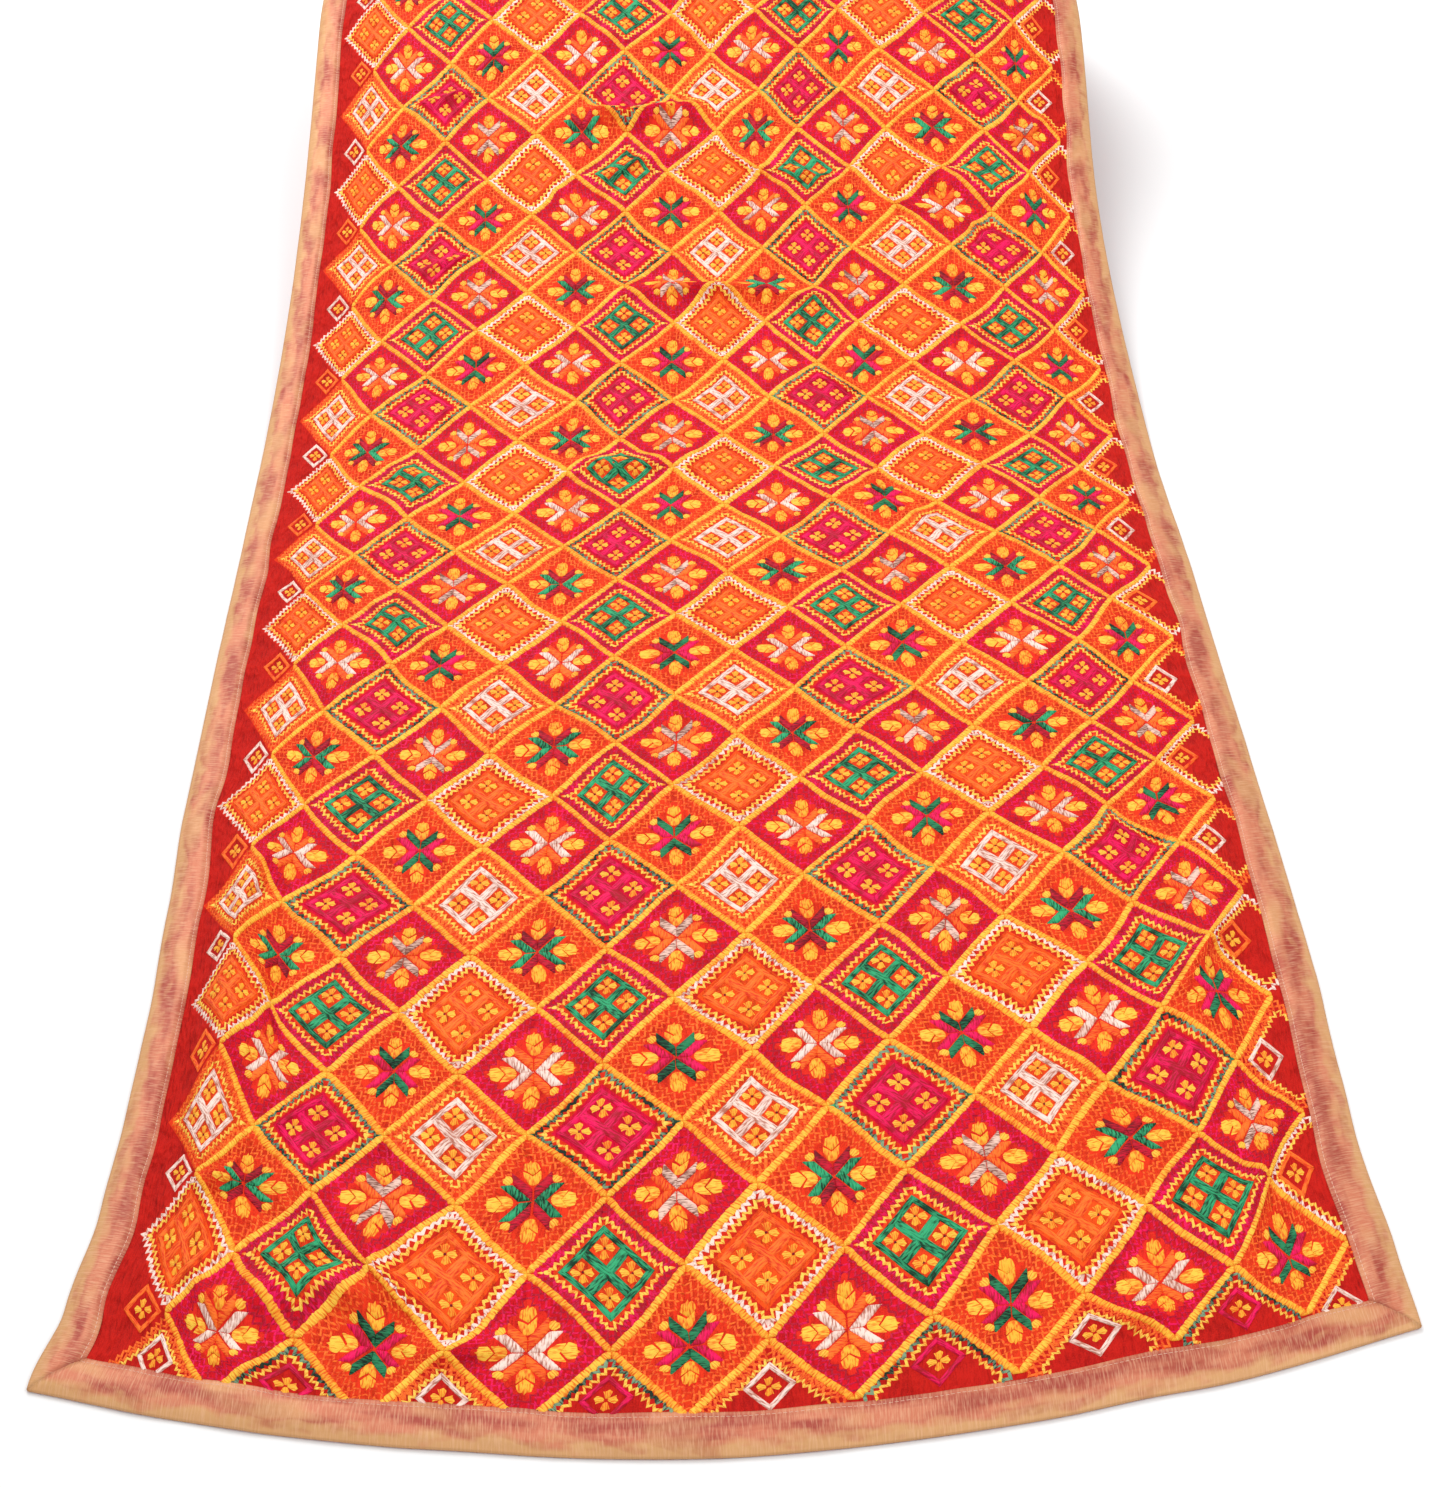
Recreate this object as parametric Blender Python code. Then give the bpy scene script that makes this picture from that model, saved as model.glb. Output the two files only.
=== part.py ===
"""Embroidered shawl laid out on a floor: one ground cloth with a ribbon sewn round its edge.

Units are metres. +Y runs along the shawl away from the near hem, +X lies across it and +Z is up.
The near half lies flat on the floor. The far half rises in a long smooth sweep, turns over a
rounded crest and comes back down, so that the far hem rests on the floor too.
A point of the cloth is named by where it was cut: across from the middle, along from the near hem.
"""
import math

import bpy
from mathutils import Vector

# The cut
CUT_WIDTH = 0.98
CUT_LENGTH = 2.50
HALF_WIDTH = CUT_WIDTH / 2
BORDER_WIDTH = 0.032

# The walls
GROUND_WALL = 0.0015
BORDER_WALL = 0.0015
SEAM_GAP = 0.0003

# The long profile: distance along the cloth, slope in degrees. The slope changes evenly between rows.
PROFILE = (
    (0.00, 0.0),
    (1.11, 0.0),
    (1.25, 6.8),
    (1.37, 11.2),
    (1.49, 15.4),
    (1.61, 19.0),
    (1.74, 22.2),
    (1.87, 24.0),
)
FALL_START = 2.11
FALL_END = 2.30
LIP_START = 2.43
STEEPEST_FALL = 60.0
PROFILE_STEP = 0.005

# How far the laid edges reach from the middle line: along, left, right
REACH = (
    (0.00, 0.4655, 0.4725),
    (0.07, 0.4525, 0.4705),
    (0.16, 0.4435, 0.4665),
    (0.27, 0.4405, 0.4685),
    (0.38, 0.4405, 0.4725),
    (0.50, 0.4445, 0.4725),
    (0.62, 0.4495, 0.4715),
    (0.91, 0.4525, 0.4695),
    (1.16, 0.4545, 0.4645),
    (1.57, 0.4525, 0.4585),
    (1.88, 0.4535, 0.4665),
    (2.50, 0.4535, 0.4685),
)
EASE_START = 0.33

# How a weft line is bent and turned in the plane: along, bow of its ends, turn per metre across
WEFT = (
    (0.00, 0.074, 0.050),
    (0.14, 0.062, 0.051),
    (0.29, 0.030, 0.052),
    (0.54, 0.018, 0.050),
    (0.77, -0.006, 0.042),
    (1.20, -0.015, 0.030),
    (1.60, -0.020, 0.025),
    (1.90, -0.018, 0.020),
    (2.50, 0.000, 0.000),
)
WEFT_BOW_POWER = 1.7
MIDDLE_LINE_TURN = -0.0195
SIDE_SAG = 0.12

# The largest folds: across, along, turn from the weft in degrees, length, width, height
FOLDS = (
    (-0.395, 0.40, 91.0, 0.72, 0.120, 0.022),
    (-0.300, 0.11, 12.0, 0.30, 0.060, 0.010),
    (0.392, 0.42, 82.0, 0.50, 0.110, 0.015),
    (-0.090, 1.135, 2.0, 0.34, 0.060, 0.009),
    (0.010, 1.42, 0.0, 0.36, 0.060, 0.010),
    (-0.070, 1.70, 4.0, 0.34, 0.060, 0.011),
    (0.300, 1.60, -14.0, 0.36, 0.070, 0.009),
    (0.110, 2.20, -5.0, 0.40, 0.060, 0.010),
)
ACROSS_FOLD_LIMIT = 45.0

# The spacing of the grid that the walls are drawn on
STEP_ALONG = 0.044
STEP_ACROSS = 0.042
CLOSEST_LINES = 0.010
NORMAL_STEP = 0.002

# Colours as linear red, green, blue, with roughness
GROUND_FINISH = ((0.56, 0.035, 0.018), 0.75)
BORDER_FINISH = ((0.50, 0.20, 0.11), 0.45)


def clear_scene():
    for obj in list(bpy.data.objects):
        bpy.data.objects.remove(obj)


def material(name, finish):
    colour, roughness = finish
    made = bpy.data.materials.new(name)
    made.use_nodes = True
    shader = made.node_tree.nodes["Principled BSDF"]
    shader.inputs["Base Color"].default_value = (*colour, 1.0)
    shader.inputs["Roughness"].default_value = roughness
    shader.inputs["Metallic"].default_value = 0.0
    return made


def eased(table, along, column):
    """Read a column of a table at a distance along the cloth, easing in and out of each row."""
    if along <= table[0][0]:
        return table[0][column]
    for low, high in zip(table, table[1:]):
        if along <= high[0]:
            share = (along - low[0]) / (high[0] - low[0])
            share = share * share * (3 - 2 * share)
            return low[column] + share * (high[column] - low[column])
    return table[-1][column]


def slope(along, fall):
    """Slope of the long profile in radians, for a given steepest fall behind the crest."""
    rows = PROFILE + ((FALL_START, -fall), (FALL_END, -fall), (LIP_START, 0.0), (CUT_LENGTH, 0.0))
    for low, high in zip(rows, rows[1:]):
        if along <= high[0]:
            share = (along - low[0]) / (high[0] - low[0])
            return math.radians(low[1] + share * (high[1] - low[1]))
    return 0.0


def profile(fall):
    """Run and rise of the middle line at every step along the cloth."""
    run, rise = [0.0], [0.0]
    for step in range(round(CUT_LENGTH / PROFILE_STEP)):
        angle = slope((step + 0.5) * PROFILE_STEP, fall)
        run.append(run[-1] + PROFILE_STEP * math.cos(angle))
        rise.append(rise[-1] + PROFILE_STEP * math.sin(angle))
    return run, rise


def settled_profile():
    """The profile whose far hem comes back to the floor, found by halving."""
    gentle, steep = 0.0, STEEPEST_FALL
    for _ in range(40):
        middle = (gentle + steep) / 2
        if profile(middle)[1][-1] > 0:
            gentle = middle
        else:
            steep = middle
    return profile(steep)


RUN, RISE = settled_profile()


def read_profile(values, along):
    place = min(max(along / PROFILE_STEP, 0.0), len(values) - 1.001)
    index = int(place)
    return values[index] + (place - index) * (values[index + 1] - values[index])


def hump(distance, reach):
    """A smooth swelling: one in the middle, nothing past its reach."""
    if abs(distance) >= reach:
        return 0.0
    return math.cos(math.pi * distance / (2 * reach)) ** 2


def fold_height(across, along):
    total = 0.0
    for centre_across, centre_along, turn, length, width, height in FOLDS:
        angle = math.radians(turn)
        right = across - centre_across
        up = along - centre_along
        lengthwise = right * math.cos(angle) + up * math.sin(angle)
        crosswise = up * math.cos(angle) - right * math.sin(angle)
        total += height * hump(lengthwise, length / 2) * hump(crosswise, width / 2)
    return total


def underside(across, along):
    """Where a point of the cut cloth lies, on its underside."""
    run = read_profile(RUN, along)
    rise = read_profile(RISE, along) if along < LIP_START else 0.0
    side = across / HALF_WIDTH
    reach = eased(REACH, along, 1 if across < 0 else 2)
    ease = max(0.0, abs(across) - EASE_START) / (HALF_WIDTH - EASE_START)
    laid = abs(across) - (HALF_WIDTH - reach) * ease * ease * (3 - 2 * ease)
    x = math.copysign(laid, across) + MIDDLE_LINE_TURN * run
    bow = abs(side) ** WEFT_BOW_POWER
    y = run + eased(WEFT, along, 1) * bow + eased(WEFT, along, 2) * across
    z = max(0.0, rise) * (1 - SIDE_SAG * side * side) + fold_height(across, along)
    return Vector((x, y, z))


def outward(across, along):
    """Unit normal of the cloth, away from the floor."""
    left = underside(max(across - NORMAL_STEP, -HALF_WIDTH), along)
    right = underside(min(across + NORMAL_STEP, HALF_WIDTH), along)
    near = underside(across, max(along - NORMAL_STEP, 0.0))
    far = underside(across, min(along + NORMAL_STEP, CUT_LENGTH))
    return (right - left).cross(far - near).normalized()


def lifted(across, along, height):
    return underside(across, along) + outward(across, along) * height


def lines(low, high, step, fixed):
    """Grid lines from low to high: the fixed ones, and even ones wherever they leave room."""
    count = math.ceil((high - low) / step)
    kept = sorted(set([low, high] + list(fixed)))
    for index in range(1, count):
        line = low + (high - low) * index / count
        if min(abs(line - other) for other in kept) > CLOSEST_LINES:
            kept.append(line)
    return sorted(kept)


def fold_lines(runs_across):
    """The lines that carry the folds of one direction: each crest, flank and foot."""
    found = []
    for across, along, turn, _, width, _ in FOLDS:
        if (turn < ACROSS_FOLD_LIMIT) == runs_across:
            centre = along if runs_across else across
            found += [centre + width * share for share in (-0.5, -0.25, 0.0, 0.25, 0.5)]
    return found


def thinned(values, fixed):
    """Drop any line that crowds the one before it, but never a fixed one."""
    kept = []
    for value in sorted(values):
        if value in fixed or not kept or value - kept[-1] > CLOSEST_LINES:
            kept.append(value)
    return kept


EDGE_ALONG = [0.0, BORDER_WIDTH, CUT_LENGTH - BORDER_WIDTH, CUT_LENGTH]
EDGE_ACROSS = [-HALF_WIDTH, -HALF_WIDTH + BORDER_WIDTH, HALF_WIDTH - BORDER_WIDTH, HALF_WIDTH]
LINES_ALONG = thinned(lines(0.0, CUT_LENGTH, STEP_ALONG, EDGE_ALONG + fold_lines(True)), EDGE_ALONG)
LINES_ACROSS = thinned(
    lines(-HALF_WIDTH, HALF_WIDTH, STEP_ACROSS, EDGE_ACROSS + fold_lines(False)), EDGE_ACROSS)


def wall(cut_points, low, high):
    """A closed wall over a grid of cut points, from one height above the underside to another."""
    rows = len(cut_points)
    columns = len(cut_points[0])
    points = []
    for height in (low, high):
        for row in cut_points:
            points += [lifted(across, along, height) for across, along in row]
    layer = rows * columns

    def at(row, column, top):
        return row * columns + column + (layer if top else 0)

    faces = []
    for row in range(rows - 1):
        for column in range(columns - 1):
            for top in (False, True):
                a = at(row, column, top)
                b = at(row, column + 1, top)
                c = at(row + 1, column + 1, top)
                d = at(row + 1, column, top)
                faces += [(a, b, c), (a, c, d)] if top else [(a, c, b), (a, d, c)]
    rim = [(0, column) for column in range(columns)]
    rim += [(row, columns - 1) for row in range(1, rows)]
    rim += [(rows - 1, column) for column in range(columns - 2, -1, -1)]
    rim += [(row, 0) for row in range(rows - 2, 0, -1)]
    for start, end in zip(rim, rim[1:] + rim[:1]):
        a = at(*start, False)
        b = at(*end, False)
        c = at(*end, True)
        d = at(*start, True)
        faces += [(a, b, c), (a, c, d)]
    return points, faces


def ground_cloth():
    grid = [[(across, along) for across in LINES_ACROSS] for along in LINES_ALONG]
    return wall(grid, 0.0, GROUND_WALL)


def border_heights():
    low = GROUND_WALL + SEAM_GAP
    return low, low + BORDER_WALL


def side_border(outer, inner):
    """A strip along one long edge, cut slantwise at both ends to meet the hems."""
    first = (outer, SEAM_GAP)
    first_inner = (inner, BORDER_WIDTH + SEAM_GAP)
    last = (outer, CUT_LENGTH - SEAM_GAP)
    last_inner = (inner, CUT_LENGTH - BORDER_WIDTH - SEAM_GAP)
    middle = [along for along in LINES_ALONG if EDGE_ALONG[1] < along < EDGE_ALONG[2]]
    grid = [[first, first_inner]]
    grid += [[(outer, along), (inner, along)] for along in middle]
    grid += [[last, last_inner]]
    if outer > inner:
        grid = [row[::-1] for row in grid]
    return wall(grid, *border_heights())


def hem_border(outer, inner):
    """A strip along one hem, cut slantwise at both ends to meet the long edges."""
    middle = [across for across in LINES_ACROSS if EDGE_ACROSS[1] < across < EDGE_ACROSS[2]]
    reach = HALF_WIDTH - SEAM_GAP
    inner_reach = HALF_WIDTH - BORDER_WIDTH - SEAM_GAP
    outer_row = [(-reach, outer)] + [(across, outer) for across in middle] + [(reach, outer)]
    inner_row = [(-inner_reach, inner)] + [(across, inner) for across in middle] + [(inner_reach, inner)]
    grid = [outer_row, inner_row] if outer < inner else [inner_row, outer_row]
    return wall(grid, *border_heights())


def centred(shapes):
    """Move everything so that the whole stands over the origin."""
    points = [point for made, _ in shapes.values() for point in made]
    middle = Vector((
        (min(point.x for point in points) + max(point.x for point in points)) / 2,
        (min(point.y for point in points) + max(point.y for point in points)) / 2,
        0.0,
    ))
    return {name: ([point - middle for point in made], faces) for name, (made, faces) in shapes.items()}


def add_piece(name, points, faces, finish):
    mesh = bpy.data.meshes.new(name)
    mesh.from_pydata(points, [], faces)
    mesh.materials.append(finish)
    mesh.shade_smooth()
    mesh.set_sharp_from_angle(angle=math.radians(40))
    piece = bpy.data.objects.new(name, mesh)
    bpy.context.scene.collection.objects.link(piece)


def main():
    clear_scene()
    ground_finish = material("ground_cloth", GROUND_FINISH)
    border_finish = material("border_ribbon", BORDER_FINISH)
    shapes = centred({
        "ground_cloth": ground_cloth(),
        "border_near": hem_border(EDGE_ALONG[0], EDGE_ALONG[1]),
        "border_far": hem_border(EDGE_ALONG[3], EDGE_ALONG[2]),
        "border_left": side_border(EDGE_ACROSS[0], EDGE_ACROSS[1]),
        "border_right": side_border(EDGE_ACROSS[3], EDGE_ACROSS[2]),
    })
    for name, (points, faces) in shapes.items():
        finish = ground_finish if name == "ground_cloth" else border_finish
        add_piece(name, points, faces, finish)


main()
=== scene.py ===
"""Looks of the embroidered shawl: crinkled red ground, floss embroidery and a tissue ribbon.

Units are metres. A point of the cloth is named by where it was cut, as in the model: across from the
middle, along from the near hem. One surface is worked out on a fine grid, with the model's sweep and
folds and this script's own creases, and every stitch and ribbon is laid on that same surface.
"""
import math

import bpy
import numpy as np
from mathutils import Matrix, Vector


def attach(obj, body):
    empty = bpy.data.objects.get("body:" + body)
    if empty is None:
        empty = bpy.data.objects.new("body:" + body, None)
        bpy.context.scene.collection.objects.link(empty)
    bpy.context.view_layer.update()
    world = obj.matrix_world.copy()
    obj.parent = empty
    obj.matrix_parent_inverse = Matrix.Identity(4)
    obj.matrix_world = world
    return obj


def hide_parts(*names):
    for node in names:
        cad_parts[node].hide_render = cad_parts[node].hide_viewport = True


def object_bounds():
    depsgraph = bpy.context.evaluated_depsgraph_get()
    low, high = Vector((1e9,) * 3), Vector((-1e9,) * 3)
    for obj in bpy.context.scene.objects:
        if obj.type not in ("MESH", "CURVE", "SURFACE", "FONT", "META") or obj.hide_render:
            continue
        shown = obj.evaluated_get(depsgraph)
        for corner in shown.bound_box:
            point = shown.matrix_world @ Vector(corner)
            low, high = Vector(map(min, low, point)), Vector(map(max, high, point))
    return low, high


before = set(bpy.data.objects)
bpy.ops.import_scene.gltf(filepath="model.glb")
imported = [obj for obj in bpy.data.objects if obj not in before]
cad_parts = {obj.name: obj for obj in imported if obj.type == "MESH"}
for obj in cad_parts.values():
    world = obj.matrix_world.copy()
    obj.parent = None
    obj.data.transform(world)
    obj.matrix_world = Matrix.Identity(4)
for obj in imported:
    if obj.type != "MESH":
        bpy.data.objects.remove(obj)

CAD_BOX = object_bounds()

# The cut and its lay, as in the model
CUT_WIDTH = 0.98
CUT_LENGTH = 2.50
HALF_WIDTH = CUT_WIDTH / 2
BORDER_WIDTH = 0.032
PROFILE = (
    (0.00, 0.0),
    (1.11, 0.0),
    (1.25, 6.8),
    (1.37, 11.2),
    (1.49, 15.4),
    (1.61, 19.0),
    (1.74, 22.2),
    (1.87, 24.0),
)
FALL_START = 2.11
FALL_END = 2.30
LIP_START = 2.43
STEEPEST_FALL = 60.0
PROFILE_STEP = 0.005
REACH = (
    (0.00, 0.4655, 0.4725),
    (0.07, 0.4525, 0.4705),
    (0.16, 0.4435, 0.4665),
    (0.27, 0.4405, 0.4685),
    (0.38, 0.4405, 0.4725),
    (0.50, 0.4445, 0.4725),
    (0.62, 0.4495, 0.4715),
    (0.91, 0.4525, 0.4695),
    (1.16, 0.4545, 0.4645),
    (1.57, 0.4525, 0.4585),
    (1.88, 0.4535, 0.4665),
    (2.50, 0.4535, 0.4685),
)
EASE_START = 0.33
WEFT = (
    (0.00, 0.074, 0.050),
    (0.14, 0.062, 0.051),
    (0.29, 0.030, 0.052),
    (0.54, 0.018, 0.050),
    (0.77, -0.006, 0.042),
    (1.20, -0.015, 0.030),
    (1.60, -0.020, 0.025),
    (1.90, -0.018, 0.020),
    (2.50, 0.000, 0.000),
)
WEFT_BOW_POWER = 1.7
MIDDLE_LINE_TURN = -0.0195
SIDE_SAG = 0.12
FOLDS = (
    (-0.395, 0.40, 91.0, 0.72, 0.120, 0.022),
    (-0.300, 0.11, 12.0, 0.30, 0.060, 0.010),
    (0.392, 0.42, 82.0, 0.50, 0.110, 0.015),
    (-0.090, 1.135, 2.0, 0.34, 0.060, 0.009),
    (0.010, 1.42, 0.0, 0.36, 0.060, 0.010),
    (-0.070, 1.70, 4.0, 0.34, 0.060, 0.011),
    (0.300, 1.60, -14.0, 0.36, 0.070, 0.009),
    (0.110, 2.20, -5.0, 0.40, 0.060, 0.010),
)

# The smaller creases: across, along, turn from the weft in degrees, length, width,
# height, and how much cloth each side of the crest is drawn into it
CREASES = (
    (-0.100, 1.700, -8, 0.12, 0.038, 0.007, 0.006),
    (-0.030, 1.705, 2, 0.13, 0.040, 0.005, 0.006),
    (-0.080, 1.620, 24, 0.15, 0.040, 0.007, 0.006),
    (-0.155, 1.575, -63, 0.08, 0.034, 0.005, 0.003),
    (0.060, 1.625, -32, 0.09, 0.036, 0.006, 0.004),
    (0.005, 1.420, -1, 0.24, 0.042, 0.006, 0.007),
    (0.120, 1.410, 3, 0.14, 0.040, 0.005, 0.006),
    (-0.085, 1.130, -1, 0.11, 0.038, 0.004, 0.005),
    (-0.295, 1.740, 20, 0.13, 0.040, 0.007, 0.007),
    (-0.285, 1.480, 23, 0.13, 0.040, 0.008, 0.007),
    (0.330, 1.745, -24, 0.17, 0.040, 0.007, 0.006),
    (0.125, 1.605, -20, 0.12, 0.038, 0.008, 0.007),
    (0.240, 1.560, -24, 0.10, 0.038, 0.006, 0.005),
    (0.320, 1.525, -55, 0.10, 0.038, 0.006, 0.004),
    (0.390, 1.690, 23, 0.11, 0.038, 0.006, 0.005),
    (-0.303, 0.170, 98, 0.28, 0.062, 0.008, 0.005),
    (-0.365, 0.110, -42, 0.12, 0.044, 0.006, 0.004),
    (-0.325, 0.050, -40, 0.10, 0.042, 0.005, 0.003),
    (-0.250, 0.100, -46, 0.09, 0.038, 0.005, 0.003),
    (-0.235, 0.140, -55, 0.12, 0.042, 0.009, 0.006),
    (-0.352, 0.372, 103, 0.20, 0.046, 0.008, 0.006),
    (-0.318, 0.292, 62, 0.12, 0.044, 0.007, 0.005),
    (-0.372, 0.205, 30, 0.11, 0.046, 0.007, 0.005),
    (-0.395, 0.500, 74, 0.15, 0.042, 0.006, 0.005),
    (-0.174, 0.078, 14, 0.13, 0.046, 0.008, 0.005),
    (0.400, 0.170, 66, 0.24, 0.044, 0.009, 0.006),
    (0.285, 0.064, -12, 0.12, 0.046, 0.006, 0.005),
    (0.392, 0.400, 58, 0.15, 0.044, 0.007, 0.006),
    (0.352, 0.560, -64, 0.13, 0.042, 0.006, 0.005),
    (0.285, 0.310, 32, 0.16, 0.076, 0.006, 0.002),
    (0.180, 1.095, -51, 0.12, 0.040, 0.006, 0.005),
    (-0.290, 1.125, -38, 0.13, 0.042, 0.006, 0.004),
    (-0.290, 0.890, -50, 0.14, 0.044, 0.006, 0.004),
    (0.145, 1.275, -33, 0.13, 0.042, 0.006, 0.005),
    (0.235, 1.020, -44, 0.15, 0.044, 0.006, 0.004),
    (-0.210, 2.020, 12, 0.18, 0.040, 0.007, 0.006),
    (0.160, 2.060, -18, 0.15, 0.042, 0.007, 0.005),
    (0.330, 2.210, -34, 0.13, 0.042, 0.006, 0.004),
    (-0.340, 2.240, 35, 0.14, 0.044, 0.006, 0.004),
    (0.020, 2.340, 4, 0.13, 0.042, 0.005, 0.005),
)
DRAWN_REACH = 0.11
DRAWN_CREST = 0.010
CREST_LEAN = 0.35

# The even puckering of the stitched cloth
PUCKER = 0.0015
FINE_PUCKER = 0.0005
WANDER = 0.0030
WANDER_LENGTH = 0.105
HEM_EASE = 0.06

# The grid that the surface is worked out on
CELLS_ACROSS = 138
CELLS_ALONG = 350

# Heights above the cloth's underside
GROUND_TOP = 0.0011
RIBBON_LOW = 0.0012
RIBBON_CROWN = 0.0021
RIM = -0.0002

# The embroidery's chart. A column is half a tile across and a level is a tile along.
COLUMN = 0.0533
FIRST_COLUMN = -0.4075
LEVEL = 0.1223
FIRST_LEVEL = 0.0744
FIRST_LEVELS_STRETCH = 0.018
FIRST_LEVELS_FADE = 1.5
HEM_LEVEL = 0.110
TILE_COLUMNS = 16
LEVELS = 20
HALF_TILE_ACROSS = COLUMN
HALF_TILE_ALONG = LEVEL / 2

# How far the chart strays from even rows, in millimetres: level, then at columns 0, 4, 8, 12 and 16
STRAY_LEVELS = 2
STRAY_COLUMNS = 4
STRAY_ACROSS = (
    (0, 9, 7, 11, 19, 12),
    (2, 11, -1, 5, 8, 4),
    (4, 2, 2, 3, 4, 0),
    (6, 12, 3, 4, 4, 3),
    (8, 7, 2, 1, 1, 1),
    (10, 6, 3, 2, -4, 7),
    (12, 8, 3, 1, -6, 6),
    (14, 8, 4, 1, -10, 0),
    (16, 3, 0, -2, 0, -4),
    (18, 0, 2, 0, 3, 0),
    (20, 0, 0, 0, 0, 0),
)
STRAY_ALONG = (
    (0, 3, -3, 12, 18, 13),
    (2, 1, -7, 11, 16, 22),
    (4, -15, -8, 8, 15, 15),
    (6, 6, -6, 6, 10, 10),
    (8, -18, -13, -5, 0, 2),
    (10, -18, -6, -6, -6, -14),
    (12, -15, -11, -11, 0, -5),
    (14, -10, -3, -5, 4, -7),
    (16, -4, -6, 0, 3, -2),
    (18, 0, -2, -3, 0, 0),
    (20, 0, 0, 0, 0, 0),
)

SEED = 7


def srgb(red, green, blue):
    """Linear colour from display values of 0 to 255."""
    shares = [value / 255 for value in (red, green, blue)]
    return tuple(s / 12.92 if s <= 0.04045 else ((s + 0.055) / 1.055) ** 2.4 for s in shares)


# Floss colours: name, shade, light, and how far the colour wanders from place to place
FLOSS = {
    # The yellow floss comes twice, in the first row and the third: painted sheen, lighter for threads laid
    # the way that catches the light and deeper orange for threads laid the other way.
    "yellow_lit": (srgb(234, 104, 4), srgb(255, 202, 68), 0.22),
    "straw": (srgb(232, 108, 8), srgb(255, 210, 84), 0.22),
    "yellow_shaded": (srgb(230, 88, 2), srgb(255, 184, 52), 0.24),
    "orange": (srgb(224, 48, 4), srgb(255, 118, 34), 0.26),
    "magenta": (srgb(170, 0, 30), srgb(246, 2, 92), 0.56),
    "emerald": (srgb(0, 50, 28), srgb(48, 170, 114), 0.55),
    "bottle": (srgb(0, 30, 16), srgb(38, 132, 86), 0.62),
    "moss": (srgb(16, 36, 22), srgb(130, 160, 126), 0.80),
    "maroon": (srgb(110, 0, 16), srgb(206, 4, 44), 0.45),
    "white": (srgb(184, 112, 92), srgb(255, 226, 212), 0.36),
    "silver": (srgb(132, 80, 66), srgb(246, 204, 186), 0.48),
}


def eased(table, along, column):
    """Read a column of a table at distances along the cloth, easing in and out of each row."""
    rows = np.array(table)
    low = np.clip(np.searchsorted(rows[:, 0], along, side="right") - 1, 0, len(rows) - 2)
    share = np.clip((along - rows[low, 0]) / (rows[low + 1, 0] - rows[low, 0]), 0, 1)
    share = share * share * (3 - 2 * share)
    return rows[low, column] + share * (rows[low + 1, column] - rows[low, column])


def slope(along, fall):
    """Slope of the long profile in radians, for a given steepest fall behind the crest."""
    ending = ((FALL_START, -fall), (FALL_END, -fall), (LIP_START, 0.0), (CUT_LENGTH, 0.0))
    rows = np.array(PROFILE + ending)
    return np.radians(np.interp(along, rows[:, 0], rows[:, 1]))


def profile(fall):
    """Run and rise of the middle line at every step along the cloth."""
    angle = slope((np.arange(round(CUT_LENGTH / PROFILE_STEP)) + 0.5) * PROFILE_STEP, fall)
    run = np.concatenate([[0.0], np.cumsum(PROFILE_STEP * np.cos(angle))])
    rise = np.concatenate([[0.0], np.cumsum(PROFILE_STEP * np.sin(angle))])
    return run, rise


def settled_profile():
    """The profile whose far hem comes back to the floor, found by halving."""
    gentle, steep = 0.0, STEEPEST_FALL
    for _ in range(40):
        middle = (gentle + steep) / 2
        if profile(middle)[1][-1] > 0:
            gentle = middle
        else:
            steep = middle
    return profile(steep)


RUN, RISE = settled_profile()
STATIONS = np.arange(len(RUN)) * PROFILE_STEP


def hump(distance, reach):
    """A smooth swelling: one in the middle, nothing past its reach."""
    return np.where(np.abs(distance) < reach, np.cos(math.pi * distance / (2 * reach)) ** 2, 0.0)


def fold_axes(row, across, along):
    """Lengthwise and crosswise distance of points from a fold's middle."""
    angle = math.radians(row[2])
    right = across - row[0]
    up = along - row[1]
    return right * math.cos(angle) + up * math.sin(angle), up * math.cos(angle) - right * math.sin(angle)


def ripple(across, along, wavelength, seed):
    """Even seeded waves in all directions, about one high."""
    random = np.random.default_rng(seed)
    waves = 14
    total = np.zeros_like(across)
    for _ in range(waves):
        turn = random.uniform(0, math.tau)
        length = wavelength * random.uniform(0.7, 1.5)
        phase = random.uniform(0, math.tau)
        total += np.sin(math.tau * (across * math.cos(turn) + along * math.sin(turn)) / length + phase)
    return total / math.sqrt(2 * waves)


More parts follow.
